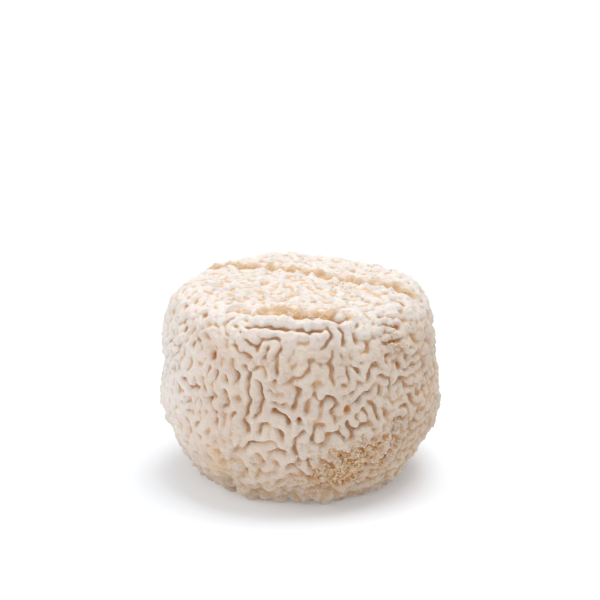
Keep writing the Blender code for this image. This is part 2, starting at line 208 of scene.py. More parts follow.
@dataclass(frozen=True)
class Crease:
    """A groove from one place on the skin to another, bowed to one side.

    A fold has a lip before its groove, toward the front, and a bank behind it.
    """

    turn_a: float
    run_a: float
    turn_b: float
    run_b: float
    bow: float = 0.0
    depth: float = 1.0
    width: float = 0.27
    lip: float = 0.0
    bank: float = 0.0


@dataclass(frozen=True)
class Pit:
    """A small round hole in the rind."""

    turn: float
    run: float
    radius: float
    depth: float


@dataclass(frozen=True)
class Swell:
    """A broad push outward, or inward where it is negative."""

    turn: float
    run: float
    radius: float
    push: float


@dataclass(frozen=True)
class Patch:
    """A stretch of skin where something is stronger, or weaker where it is negative."""

    turn: float
    run: float
    wide: float
    tall: float
    amount: float


@dataclass(frozen=True)
class DrumOutline:
    """The drum's outline, from the crown over the shoulder, waist and belly to the foot."""

    height: float = 35.2
    crown_drop: float = 0.2
    top_radius: float = 15.5
    waist_radius: float = 24.1
    waist_height: float = 22.0
    belly_radius: float = 24.7
    belly_height: float = 15.0
    foot_radius: float = 15.0
    shoulder_roundness: float = 2.5
    underside_roundness: float = 1.6
    steps: int = 60

    def corner(self, wide: float, tall: float, roundness: float) -> tuple[np.ndarray, np.ndarray]:
        """A quarter of a superellipse.

        Args:
            wide: how far it reaches sideways.
            tall: how far it reaches up.
            roundness: 2 for an ellipse, more for a squarer corner, less for a flatter one.

        Returns:
            The sideways and the upward distances, from (0, tall) round to (wide, 0).
        """
        angle = np.linspace(0, math.pi / 2, self.steps)
        power = 2 / roundness
        return wide * np.sin(angle) ** power, tall * np.cos(angle).clip(0) ** power

    def points(self) -> np.ndarray:
        """Draws the outline.

        Returns:
            Radius and height of each point, from the top's centre to the foot's.
        """
        share = np.linspace(0, 1, self.steps)
        side_drop = self.height - self.crown_drop - self.waist_height
        shoulder, rise = self.corner(
            self.waist_radius - self.top_radius, side_drop, self.shoulder_roundness
        )
        under, sink = self.corner(
            self.belly_radius - self.foot_radius, self.belly_height, self.underside_roundness
        )
        flare = (self.belly_radius - self.waist_radius) * (1 - np.cos(math.pi * share)) / 2
        drop = (self.belly_height - self.waist_height) * share
        stretches = (
            (self.top_radius * share, self.height - self.crown_drop * share**2),
            (self.top_radius + shoulder, self.waist_height + rise),
            (self.waist_radius + flare, self.waist_height + drop),
            (self.foot_radius + under[::-1], self.belly_height - sink[::-1]),
            (self.foot_radius * (1 - share), np.zeros(self.steps)),
        )
        line = np.concatenate([np.stack(stretch, -1) for stretch in stretches])
        moved = np.linalg.norm(np.diff(line, axis=0), axis=1) > 1e-9
        return line[np.concatenate([[True], moved])]


class DrumSkin:
    """The turned drum's surface: a grid of points, each with its azimuth and run.

    The grid is drawn closer together round the front of the rim, which shows the finest wrinkles,
    and its cells stay as good as square all over.
    """

    crowding: float = 0.22
    crowd_tilt: float = 22.0

    def __init__(self, outline: DrumOutline, cells: int) -> None:
        """Blows a gridded cube out into the drum.

        Args:
            outline: the outline that the drum is turned from.
            cells: how many cells each side of the cube has along each edge.
        """
        self.mesh = self.gridded_cube(cells)
        corners = np.empty(3 * len(self.mesh.vertices), np.float32)
        self.mesh.vertices.foreach_get("co", corners)
        way = np.tan(corners.astype(float).reshape(-1, 3) * math.pi / 4)
        way = self.crowded(way / np.linalg.norm(way, axis=1)[:, None])
        quads = np.empty(4 * len(self.mesh.polygons), np.int32)
        self.mesh.polygons.foreach_get("vertices", quads)
        self.quads = quads.reshape(-1, 4)

        self.line = outline.points()
        steps = np.linalg.norm(np.diff(self.line, axis=0), axis=1)
        self.length = np.concatenate([[0], np.cumsum(steps)])
        self.middle = (0.0, 0.0, outline.belly_height)
        self.azimuth = np.arctan2(way[:, 0], -way[:, 1])
        self.run = np.arccos(np.clip(way[:, 2], -1, 1)) / math.pi * self.length[-1]
        self.points = self.place(self.azimuth, self.run)

    @staticmethod
    def gridded_cube(cells: int) -> bpy.types.Mesh:
        """Makes a 2-unit cube with each side cut into a grid.

        Args:
            cells: how many cells each side has along each edge.

        Returns:
            The cube's mesh, closed and facing outward.
        """
        shell = bmesh.new()
        bmesh.ops.create_cube(shell, size=2)
        bmesh.ops.subdivide_edges(shell, edges=shell.edges[:], cuts=cells - 1, use_grid_fill=True)
        bmesh.ops.recalc_face_normals(shell, faces=shell.faces[:])
        mesh = bpy.data.meshes.new("wrinkled_rind")
        shell.to_mesh(mesh)
        shell.free()
        return mesh

    def crowded(self, way: np.ndarray) -> np.ndarray:
        """Draws directions together round one of them, with small squares kept square.

        Args:
            way: unit vectors, one a row.

        Returns:
            The unit vectors drawn together.
        """
        tilt = math.radians(self.crowd_tilt)
        front = np.array([0.0, -math.cos(tilt), math.sin(tilt)])
        along = way @ front
        shrink = 1 + self.crowding * along
        across = (way - np.outer(along, front)) * math.sqrt(1 - self.crowding**2)
        return (across + np.outer(along + self.crowding, front)) / shrink[:, None]

    def place(self, azimuth: np.ndarray | float, run: np.ndarray | float) -> np.ndarray:
        """Finds places on the drum.

        Args:
            azimuth: in radians, 0 at the front.
            run: distance along the outline.

        Returns:
            The points, one a row.
        """
        radius = np.interp(run, self.length, self.line[:, 0])
        height = np.interp(run, self.length, self.line[:, 1])
        return np.stack([radius * np.sin(azimuth), -radius * np.cos(azimuth), height], -1)

    def settle(self, places: np.ndarray, on_top: bool) -> np.ndarray:
        """Moves places near the drum onto it: upright on its top, level on its sides.

        Args:
            places: the places, one a row.
            on_top: whether they lie on the top.

        Returns:
            The places on the drum.
        """
        radius = np.linalg.norm(places[:, :2], axis=1)
        upper = self.line[:, 1] > self.middle[2]
        if on_top:
            height = np.interp(radius, self.line[upper, 0], self.line[upper, 1])
            return np.column_stack([places[:, :2], height])
        outline = np.interp(-places[:, 2], -self.line[:, 1], self.line[:, 0])
        return np.column_stack([places[:, :2] * (outline / radius)[:, None], places[:, 2]])

    def reach(self, spot: Pit | Swell) -> np.ndarray:
        """How far each point is from the middle of a pit or a swell."""
        centre = self.place(math.radians(spot.turn), spot.run)
        return np.linalg.norm(self.points - centre, axis=1)

    def share(self, patches: Iterable[Patch]) -> np.ndarray:
        """Adds up patches.

        Args:
            patches: the patches, which may overlap.

        Returns:
            How much of them all together each point has.
        """
        total = np.zeros(len(self.points))
        for patch in patches:
            aside = (np.degrees(self.azimuth) - patch.turn + 180) % 360 - 180
            total += patch.amount * bell(aside, patch.wide) * bell(self.run - patch.run, patch.tall)
        return total

    def normals(self, points: np.ndarray) -> np.ndarray:
        """Works out the outward direction at each point.

        Args:
            points: the skin's points as they are now.

        Returns:
            Unit vectors, one a row.
        """
        across = points[self.quads[:, 2]] - points[self.quads[:, 0]]
        other = points[self.quads[:, 3]] - points[self.quads[:, 1]]
        facing = np.cross(across, other)
        total = np.zeros_like(points)
        for corner in range(4):
            for axis in range(3):
                total[:, axis] += np.bincount(self.quads[:, corner], facing[:, axis], len(points))
        return total / np.linalg.norm(total, axis=1)[:, None]


class SkinWeb:
    """Links each point of the skin to the eight around it, along the lay of the wrinkles."""

    reach: float = 0.30
    even_length: float = 0.285
    push_along: float = 0.75
    hold_along: float = 0.3
    start_unrest: float = 0.6
    start_waves: int = 60
    most_swap: float = 0.95

    def __init__(
        self, points: np.ndarray, quads: np.ndarray, lay: np.ndarray, hold: np.ndarray
    ) -> None:
        """Finds the links and how much each one leans along the lay.

        Args:
            points: the skin's points.
            quads: the skin's quads, as rows of four point numbers.
            lay: the direction that the wrinkles follow at each point.
            hold: how firmly they follow it, from 0 to 1.
        """
        pairs = ((0, 1), (1, 2), (2, 3), (3, 0), (0, 2), (1, 3))
        ends = np.concatenate([quads[:, pair] for pair in pairs])
        ends = np.unique(np.concatenate([ends, ends[:, ::-1]]), axis=0)
        self.here, self.there = ends[:, 0], ends[:, 1]
        self.count = len(points)
        self.step = points[self.there] - points[self.here]
        self.length = np.linalg.norm(self.step, axis=1)
        along = (self.step * lay[self.here]).sum(1) / self.length
        self.weight = bell(self.length, self.reach)
        self.lean = hold[self.here] * (2 * along**2 - 1)
        typical = self.gather(self.length) / self.gather(np.ones_like(self.length))
        self.swap = self.most_swap * np.minimum(1, (self.even_length / typical) ** 2)

    def gather(self, values: np.ndarray) -> np.ndarray:
        """The sum over each point's links."""
        return np.bincount(self.here, values, self.count)

    def spread(self, values: np.ndarray, rounds: int, preference: float = 0.0) -> np.ndarray:
        """Averages values with those around them, as far on coarse cells as on fine ones.

        Args:
            values: one for each point.
            rounds: how many times over.
            preference: how much more the links along the lay count.

        Returns:
            The averaged values.
        """
        weight = self.weight * (1 + preference * self.lean)
        total = self.gather(weight)
        for _ in range(rounds):
            around = self.gather(weight * values[self.there]) / total
            values = values + self.swap * (around - values)
        return values

    def slope(self, values: np.ndarray) -> np.ndarray:
        """Finds which way values rise.

        Args:
            values: one for each point.

        Returns:
            The uphill direction at each point, as long as it is steep.
        """
        rise = (values[self.there] - values[self.here]) / self.length**2
        sums = [self.gather(rise * self.step[:, axis]) for axis in range(3)]
        return np.stack(sums, -1) * (2 / self.gather(np.ones_like(rise)))[:, None]

    def grooves(self, points: np.ndarray, growth: Growth, urge: np.ndarray) -> np.ndarray:
        """Lets one kind of wrinkle grow: what is near pushes up, the wider ring holds down.

        Args:
            points: the skin's points.
            growth: the kind of wrinkle.
            urge: how readily a ridge wins at each point.

        Returns:
            0 on the ridges and 1 at the bottom of the grooves.
        """
        start = Bumps(growth.wavelength, self.start_unrest, self.start_waves, growth.seed)
        state = start.over(points)
        pull = np.zeros(len(points))
        for _ in range(growth.rounds):
            push = self.spread(state, growth.near, self.push_along)
            hold = self.spread(push, growth.ring, self.hold_along)
            pull = growth.gain * (push - hold) + growth.bias + urge
            state = np.tanh(pull)
        sink = self.spread(-pull, 1, self.push_along)
        return np.clip((sink - growth.brim) / (growth.bottom - growth.brim), 0, 1)


@dataclass(frozen=True)
class Mould:
    """The slow swells and hollows of a hand-moulded drum."""

    lumps: tuple[Bumps, ...] = (Bumps(26.0, 0.22, 24, 3), Bumps(11.0, 0.13, 32, 4))
    scallops: Bumps = Bumps(5.0, 0.35, 32, 8)
    scallop_run: float = 54.0
    scallop_band: float = 3.0
    toes: Bumps = Bumps(3.6, 0.35, 48, 9)
    toe_height: float = 0.1
    toe_run: float = 56.5
    toe_band: float = 1.2
    swells: tuple[Swell, ...] = (
        Swell(-86.0, 40.0, radius=2.4, push=0.15),
        Swell(-88.0, 21.5, radius=4.0, push=0.8),
        Swell(-118.0, 19.0, radius=6.0, push=-0.5),
        Swell(-60.0, 52.0, radius=6.0, push=-0.3),
        Swell(-42.5, 55.0, radius=1.8, push=-0.9),
        Swell(-12.0, 22.6, radius=3.2, push=0.35),
        Swell(0.0, 12.5, radius=9.0, push=-0.3),
        Swell(8.0, 22.6, radius=3.0, push=0.35),
        Swell(15.0, 22.5, radius=2.2, push=0.4),
        Swell(55.0, 36.0, radius=6.0, push=0.3),
        Swell(72.0, 50.0, radius=8.0, push=-1.2),
        Swell(84.0, 42.0, radius=6.0, push=0.5),
        Swell(86.0, 30.0, radius=5.0, push=-1.0),
        Swell(104.0, 20.5, radius=4.0, push=0.3),
        Swell(138.0, 18.5, radius=6.0, push=-0.4),
        Swell(175.0, 16.0, radius=9.0, push=-0.3),
    )

    def shape(self, skin: DrumSkin, off_ground: np.ndarray) -> np.ndarray:
        """Moulds the turned drum.

        Args:
            skin: the turned drum.
            off_ground: 1 on the free skin, 0 on the flat that the drum rests on.

        Returns:
            The moulded points.
        """
        push = sum(lumps.over(skin.points) for lumps in self.lumps)
        at_foot = bell(skin.run - self.scallop_run, self.scallop_band)
        push += self.scallops.over(skin.points) * at_foot
        toes = self.toe_height + self.toes.over(skin.points)
        push += toes * bell(skin.run - self.toe_run, self.toe_band)
        for swell in self.swells:
            push += swell.push * bell(skin.reach(swell), swell.radius)
        return skin.points + skin.normals(skin.points) * (push * off_ground)[:, None]


TOP_CREASES = (
    Crease(-118.0, 19.0, 130.0, 4.5, bow=0.8, depth=1.3, width=0.55, lip=0.50, bank=0.95),
    Crease(130.0, 4.5, 71.0, 20.0, bow=-0.9, depth=1.3, width=0.55, lip=0.50, bank=1.15),
    Crease(-40.0, 18.3, -25.5, 18.6, bow=0.2, depth=0.8, width=0.45, lip=0.25, bank=0.3),
    Crease(-25.5, 18.6, 0.0, 19.3, bow=0.2, depth=1.1, width=0.60, lip=0.35, bank=0.60),
    Crease(0.0, 19.3, 22.3, 20.3, bow=0.2, depth=1.1, width=0.60, lip=0.35, bank=0.60),
    Crease(-27.0, 21.7, -3.0, 21.7, bow=0.3, depth=0.9, width=0.30, lip=0.30),
    Crease(-3.0, 21.7, 11.0, 21.6, bow=-0.2, depth=0.9, width=0.30, lip=0.25),
)
SHOULDER_CREASES = (
    Crease(-30.8, 25.4, -21.8, 26.8),
    Crease(-24.0, 24.1, -19.2, 25.4, depth=0.9),
    Crease(-18.7, 24.7, -9.3, 23.4, bow=0.8, depth=0.9),
    Crease(12.5, 21.3, 8.8, 24.8, bow=0.9, depth=1.2),
    Crease(17.8, 21.7, 17.8, 24.9, bow=0.6, depth=1.1),
    Crease(37.2, 25.1, 50.3, 25.5, bow=-0.5, depth=1.1),
)
LEFT_CREASES = (
    Crease(-58.4, 33.6, -49.3, 34.7, bow=-0.6),
    Crease(-41.6, 35.6, -36.7, 37.7, depth=0.9),
    Crease(-37.7, 30.3, -40.1, 33.0, depth=0.8),
    Crease(-24.3, 28.3, -22.7, 30.7, bow=0.6),
    Crease(-20.2, 28.8, -13.6, 30.1, bow=1.2, depth=0.8),
    Crease(-18.1, 30.6, -18.8, 37.1, bow=1.0),
    Crease(-22.2, 32.8, -23.5, 37.4, bow=0.5),
    Crease(-23.5, 37.4, -20.4, 39.9, bow=-0.5),
    Crease(-16.6, 38.5, -13.3, 38.2, depth=0.9),
    Crease(-23.9, 43.5, -16.3, 41.8, bow=0.8, depth=0.9),
)
FRONT_CREASES = (
    Crease(-9.1, 25.3, -9.7, 29.3, bow=-0.3, depth=0.9),
    Crease(-6.2, 30.6, 2.8, 28.7, bow=-0.2, depth=0.9),
    Crease(-0.8, 31.8, -3.6, 35.4, bow=0.2, depth=0.9),
    Crease(-11.3, 36.0, -4.8, 37.8, bow=0.5, depth=1.1),
    Crease(-12.8, 43.5, -6.1, 43.1, bow=0.3, depth=1.1),
    Crease(0.6, 39.2, -1.9, 43.7, bow=-0.9),
    Crease(4.7, 32.9, 8.1, 34.7, bow=0.4, depth=0.8),
    Crease(4.4, 41.1, 8.8, 38.1, bow=0.7, depth=0.9),
)
RIGHT_CREASES = (
    Crease(13.6, 25.4, 13.0, 31.5, bow=-0.4),
    Crease(10.2, 33.1, 15.4, 34.8),
    Crease(15.4, 34.8, 13.0, 36.9, bow=-0.9),
    Crease(10.4, 40.2, 18.0, 41.7, bow=0.9, depth=0.9),
    Crease(18.2, 38.0, 21.8, 41.3),
    Crease(21.3, 39.3, 28.9, 38.7, bow=-0.3, depth=1.1),
    Crease(23.6, 34.9, 29.0, 33.4, bow=0.4, depth=1.1),
    Crease(29.1, 35.5, 32.2, 38.2, bow=0.5, depth=1.1),
    Crease(33.2, 28.5, 28.8, 31.5, bow=-0.7, depth=1.1),
    Crease(33.2, 30.9, 40.7, 33.2, bow=0.8, depth=0.9),
    Crease(40.7, 33.2, 47.8, 32.5, bow=0.3, depth=0.9),
    Crease(39.4, 27.6, 38.4, 29.3, bow=-0.4),
)


@dataclass
class Creasing:
    """Where the skin's points lie against their nearest crease, one value a point."""

    away: np.ndarray
    scale: np.ndarray
    ahead: np.ndarray
    depth: np.ndarray
    lip: np.ndarray
    bank: np.ndarray


@dataclass
class Relief:
    """What the wrinkles leave on the skin, one value a point."""

    height: np.ndarray
    slope: np.ndarray
    # How sunken each point is, painted tan with painted shade by the finish.
    groove: np.ndarray
    # The narrow crease lines, painted as shade by the finish.
    line: np.ndarray
    # The painted shade on the front walls of the folds' banks.
    bank_shade: np.ndarray
    ochre: np.ndarray
    crumble: np.ndarray


@dataclass(frozen=True)
class Wrinkles:
    """The rind's wrinkles: creases and pits that can be told apart, and growth around them."""

    plump: Growth = Growth(
        near=2, ring=12, rounds=7, wavelength=2.45, seed=7, bias=0.35, gain=4.4,
        brim=0.2, bottom=3.6, dent=0.44, cut=0.10,
    )
    tight: Growth = Growth(
        near=1, ring=7, rounds=7, wavelength=1.7, seed=17, bias=0.20, gain=4.8,
        brim=0.1, bottom=3.3, dent=0.42, cut=0.12,
    )
    fine: Growth = Growth(
        near=1, ring=4, rounds=5, wavelength=1.1, seed=27, bias=0.1, gain=5.0, dent=0.12, cut=0.0
    )
    fine_urge: float = 0.3
    pocketed: tuple[Patch, ...] = (
        Patch(58, 36, 22, 12, 1.0),
        Patch(-78, 34, 20, 12, 0.6),
        Patch(140, 38, 30, 10, 0.7),
        Patch(-1, 27, 9, 4, 0.6),
        Patch(-36, 40, 10, 8, 0.3),
    )
    valley: float = 0.65
    valley_spread: int = 6
    ridge_top: float = 0.36
    unevenness: tuple[Bumps, ...] = (
        Bumps(3.2, 0.09, 60, 73),
        Bumps(1.7, 0.06, 60, 71),
        Bumps(0.95, 0.035, 90, 72),
    )
    pinch: float = 0.03
    sag: float = 0.45

    tissue: Crumpling = Crumpling(Bumps(5.4, 1, 60, 51), Bumps(2.2, 0.3, 60, 52), 0.64, 0.28)
    pockets: Crumpling = Crumpling(Bumps(3.4, 1, 60, 53), Bumps(1.4, 0.3, 60, 54), 0.75, 0.30, 0.6)
    flakes: Crumpling = Crumpling(Bumps(1.6, 1, 60, 55), Bumps(0.9, 0.4, 60, 56), 0.45, 0.40)
    crumpled: tuple[Patch, ...] = (
        Patch(70, 34, 16, 13, 0.45),
        Patch(-80, 33, 18, 14, 0.55),
        Patch(-45, 24, 14, 3.5, 0.4),
        Patch(44, 25, 12, 3.5, 0.4),
        Patch(0, 55, 400, 2.0, 0.5),
    )
    grown_under: float = 0.35
    fine_on_top: float = 0.35
    # Pockets of the crumpled skin are painted darker: a stain, with painted shade.
    pocket_stain_and_shade: float = 0.6
    ochre_pockets: float = 0.80
    ochre_creases: float = 0.3
    ochre_pits: float = 1.6
    sunk_spread: int = 12
    sunk_depth: float = 0.22

    lay_turns: Bumps = Bumps(9.0, 0.85, 32, 5)
    lay_hold: float = 0.8
    rim_hold: float = 0.9
    least_hold: float = 0.1
    rim_turn: float = 1.5
    rim_run: float = 22.0
    rim_band: float = 2.6
    side_start: float = 25.0
    side_end: float = 56.0
    side_blend: float = 4.0
    top_end: float = 19.0
    lay_patches: tuple[Patch, ...] = (Patch(38, 33, 13, 7, 0.7), Patch(50, 47, 16, 6, -0.9))

    unrest: tuple[Bumps, ...] = (Bumps(1.9, 0.35, 60, 11), Bumps(3.1, 0.25, 60, 12))
    openness: Bumps = Bumps(5.5, 0.30, 48, 13)
    tightness: Bumps = Bumps(10.0, 0.45, 32, 31)
    tight_patches: tuple[Patch, ...] = (Patch(50, 40, 28, 12, 0.9), Patch(-12, 40, 24, 12, -0.95))
    top_tightness: float = 0.15
    strength: Bumps = Bumps(4.5, 0.28, 48, 41)
    least_strength: float = 0.45
    most_strength: float = 1.5
    top_strength: float = 0.60
    faint: tuple[Patch, ...] = (Patch(-41, 48, 7, 4, -0.65),)

    creases: tuple[Crease, ...] = (
        TOP_CREASES + SHOULDER_CREASES + LEFT_CREASES + FRONT_CREASES + RIGHT_CREASES
    )
    crease_dig: float = 2.3
    crease_shoulder: float = 0.75
    crease_cut: float = 0.22
    crease_bead: float = 0.06
    shoulder_away: float = 1.0
    shoulder_width: float = 0.42
    bead_away: float = 0.62
    bead_width: float = 0.18
    lip_away: float = 0.50
    lip_width: float = 0.25
    lip_tatters: Bumps = Bumps(2.4, 0.40, 60, 91)
    bank_rise: float = 0.36
    bank_reach: float = 1.1
    # The painted shade on the front wall of each bank.
    bank_shade_away: float = 0.40
    bank_shade_width: float = 0.32
    bank_shade_for_bank: float = 2.2
    most_bank_shade: float = 1.3
    # Width of the narrow crease lines that the finish paints as shade.
    line_width: float = 0.20
    crease_width: float = 0.27
    crease_step: float = 0.25
    crease_end_depth: float = 0.55
    level_from: float = 21.0
    wander: float = 0.16
    wander_length: float = 2.3

    pits: tuple[Pit, ...] = (
        Pit(-41.0, 28.0, radius=0.55, depth=0.9),
        Pit(-31.5, 35.0, radius=0.35, depth=0.5),
        Pit(-11.3, 36.0, radius=0.40, depth=0.5),
        Pit(-5.0, 37.7, radius=0.40, depth=0.5),
        Pit(-1.0, 37.2, radius=0.38, depth=0.8),
        Pit(18.8, 35.9, radius=0.50, depth=0.8),
        Pit(45.3, 30.3, radius=0.45, depth=0.6),
        Pit(48.8, 23.3, radius=0.55, depth=0.7),
        Pit(38.2, 47.1, radius=0.55, depth=0.8),
        Pit(57.6, 53.7, radius=0.80, depth=0.7),
    )
    pit_dig: float = 2.0
    pit_lip: float = 0.6
    pit_lip_away: float = 2.2
    pit_lip_width: float = 0.8
    pit_cut: float = 0.7

    crumbly: tuple[Patch, ...] = (
        Patch(26, 46.0, 13, 3.6, 1.1),
        Patch(12, 49.5, 11, 2.8, 0.85),
        Patch(44, 42.0, 8, 3.0, 0.5),
        Patch(46, 25.0, 7, 3.0, 0.7),
        Patch(-28, 46.0, 6, 4.0, 0.35),
        Patch(150, 44.0, 14, 4.0, 0.9),
        Patch(-130, 30.0, 9, 4.0, 0.6),
    )
    crumbly_tears: Bumps = Bumps(4.0, 0.3, 48, 83)

    def lay(
        self, skin: DrumSkin, points: np.ndarray, outward: np.ndarray
    ) -> tuple[np.ndarray, np.ndarray]:
        """Finds which way the wrinkles run: up the side, and round the rim at the shoulder.

        Args:
            skin: the drum's skin.
            points: its moulded points.
            outward: the outward direction at each of them.

        Returns:
            The direction at each point, and how firmly it is followed.
        """
        up = np.array([0.0, 0.0, 1.0]) - outward * outward[:, 2:]
        up /= np.maximum(np.linalg.norm(up, axis=1), 1e-6)[:, None]
        aside = np.cross(outward, up)
        at_rim = bell(skin.run - self.rim_run, self.rim_band)
        turn = self.lay_turns.over(points) + at_rim * self.rim_turn + skin.share(self.lay_patches)
        way = up * np.cos(turn)[:, None] + aside * np.sin(turn)[:, None]
        rise = np.clip((skin.run - self.side_start) / self.side_blend, 0, 1)
        on_side = rise * np.clip((self.side_end - skin.run) / self.side_blend, 0, 1)
        hold = on_side * self.lay_hold + at_rim * self.rim_hold + self.least_hold
        return way, np.clip(hold, 0, 1)

    def path(self, skin: DrumSkin, crease: Crease) -> tuple[np.ndarray, np.ndarray]:
        """Follows a crease over the skin, bowed to one side and wandering a little.

        Args:
            skin: the drum's skin.
            crease: the crease.

        Returns:
            Places along it, and how far along it each is, from 0 to 1.
        """
        start = skin.place(math.radians(crease.turn_a), crease.run_a)
        end = skin.place(math.radians(crease.turn_b), crease.run_b)
        span = end - start
        length = np.linalg.norm(span)
        on_top = max(crease.run_a, crease.run_b) < self.level_from
        outward = (start + end) / 2 - skin.middle
        side = np.cross((0.0, 0.0, 1.0) if on_top else outward, span)
        side /= np.linalg.norm(side)
        along = np.linspace(0, 1, max(3, int(length / self.crease_step)))
        bend = crease.bow * 4 * along * (1 - along)
        bend += self.wander * np.sin(2 * math.pi * (along * length / self.wander_length) + start[0])
        return skin.settle(start + span * along[:, None] + side * bend[:, None], on_top), along

    def creased(self, skin: DrumSkin) -> Creasing:
        """Measures the skin against its creases, as if all had one width.

        Args:
            skin: the drum's skin.

        Returns:
            How far each point is from its nearest crease, how far ahead of it, and that
            crease's depth, lip and bank there.
        """
        near = Creasing(np.full(len(skin.points), np.inf), *np.zeros((5, len(skin.points))))
        for crease in self.creases:
            scale = self.crease_width / crease.width
            for place, along in zip(*self.path(skin, crease)):
                away = np.linalg.norm(skin.points - place, axis=1) * scale
                closer = away < near.away
                fullness = min(1.0, self.crease_end_depth + 4 * along * (1 - along))
                near.ahead[closer] = (place[1] - skin.points[closer, 1]) * scale
                near.away[closer] = away[closer]
                near.scale[closer] = scale
                near.depth[closer] = crease.depth * fullness
                near.lip[closer] = crease.lip * fullness
                near.bank[closer] = crease.bank * fullness
        return near

    def folds(self, points: np.ndarray, near: Creasing) -> tuple[np.ndarray, np.ndarray]:
        """Raises a tattered lip before each crease that is a fold, and a bank behind it.

        Args:
            points: the skin's moulded points.
            near: where they lie against the creases.

        Returns:
            The height of the lips and banks, and where the banks' bare fronts are.
        """
        side = near.ahead / np.maximum(near.away, 1e-6)
        behind = np.clip(-side, 0, 1)
        tattered = 1 + self.lip_tatters.over(points)
        lip = near.lip * tattered * bell(near.away - self.lip_away, self.lip_width)
        rise = 1 - bell(near.away, self.bank_rise)
        bank = near.bank * rise * bell(near.away, self.bank_reach)
        # Painted shade on each bank's front wall, tattered like the lip.
        bare = np.clip(near.bank * self.bank_shade_for_bank, 0, self.most_bank_shade) * tattered
        bare *= bell(near.away - self.bank_shade_away, self.bank_shade_width)
        return lip * np.clip(side, 0, 1) + bank * behind, bare * behind

    def crumple(
        self, skin: DrumSkin, points: np.ndarray, on_top: np.ndarray
    ) -> tuple[np.ndarray, np.ndarray]:
        """Raises the jagged ridges of the top and the sides.

        Args:
            skin: the drum's skin.
            points: its moulded points.
            on_top: 1 on the top, 0 below the rim.

        Returns:
            Their height over the rest of the skin, and how much each point is a pocket of theirs.
        """
        on_sides = np.clip(skin.share(self.crumpled), 0, 1) * (1 - on_top)
        top, sides = self.tissue.ridges(points), self.pockets.ridges(points)
        height = on_top * self.tissue.height * (top - 0.5)
        height += on_sides * self.pockets.height * (sides - 0.5)
        return height, on_top * (1 - top) + on_sides * (1 - sides)

    def grow(self, skin: DrumSkin, points: np.ndarray) -> Relief:
        """Grows the wrinkles around the creases and pits.

        Args:
            skin: the drum's skin.
            points: its moulded points.

        Returns:
            The relief that they make.
        """
        outward = skin.normals(points)
        web = SkinWeb(points, skin.quads, *self.lay(skin, points, outward))
        on_top = fade(skin.run, self.top_end, 1)
        near = self.creased(skin)
        shoulder = near.depth * bell(near.away - self.shoulder_away, self.shoulder_width)
        crease = near.depth * bell(near.away, self.crease_width)

        urge = self.openness.over(points) + sum(bumps.over(points) for bumps in self.unrest)
        urge -= skin.share(self.pocketed)
        urge += self.crease_shoulder * shoulder - self.crease_dig * crease
        for pit in self.pits:
            away = skin.reach(pit) / pit.radius
            urge += self.pit_lip * bell(away - self.pit_lip_away, self.pit_lip_width)
            urge -= self.pit_dig * bell(away, 1)

        tightness = 0.5 + self.tightness.over(points) + skin.share(self.tight_patches)
        tightness = np.clip(mix(on_top, tightness, self.top_tightness), 0, 1)
        strength = 1 + self.strength.over(points)
        strength = np.clip(strength, self.least_strength, self.most_strength)
        strength *= (1 - (1 - self.top_strength) * on_top) * (1 + skin.share(self.faint))
        crumpled = np.clip(on_top + skin.share(self.crumpled), 0, 1)
        strength *= 1 - (1 - self.grown_under) * crumpled

        crumble = skin.share(self.crumbly)
        crumble = np.clip(crumble * (1 + self.crumbly_tears.over(points)), 0, 1)
        flaked = self.flakes.ridges(points)

        plump = web.grooves(points, self.plump, urge)
        tight = web.grooves(points, self.tight, urge)
        fine = web.grooves(points, self.fine, urge * self.fine_urge)
        groove = strength * mix(tightness, plump, tight)
        sharp = strength * mix(tightness, plump**3, tight**3)
        dent = mix(tightness, self.plump.dent, self.tight.dent)
        cut = mix(tightness, self.plump.cut, self.tight.cut)

        height = self.ridge_top - groove * dent - sharp * cut
        height -= self.valley * web.spread(groove, self.valley_spread)
        height += sum(bumps.over(points) for bumps in self.unevenness)
        crumpling, pocket = self.crumple(skin, points, on_top)
        height += crumpling
        height += crumble * self.flakes.height * (flaked - 0.5)
        finely = (0.5 + 0.5 * tightness + crumble) * (1 - (1 - self.fine_on_top) * on_top)
        height -= fine * self.fine.dent * finely
        bead = near.depth * bell(near.away - self.bead_away, self.bead_width)
        height += self.crease_bead * bead - self.crease_cut * crease
        folds, bank_shade = self.folds(points, near)
        height += folds
        ochre = self.ochre_pockets * crumble * (1 - flaked)
        ochre = np.maximum(self.ochre_creases * crease, ochre)
        # The narrow crease lines, which the finish paints with umber as shade.
        line = np.maximum(sharp, near.depth * bell(near.away / near.scale, self.line_width))
        for pit in self.pits:
            hole = pit.depth * bell(skin.reach(pit), pit.radius)
            height -= self.pit_cut * hole
            ochre = np.maximum(ochre, self.ochre_pits * hole)

        slope = web.slope(height)
        slope -= outward * (slope * outward).sum(1)[:, None]
        # How sunken each point is: the finish paints the hollows tan, darkened as painted shade.
        sunk = (web.spread(height, self.sunk_spread) - height) / self.sunk_depth
        sunk = np.clip(sunk + self.pocket_stain_and_shade * (pocket - 0.5) * crumpled, -1, 1)
        return Relief(height, slope, sunk, line, bank_shade, np.clip(ochre, 0, 1), crumble)


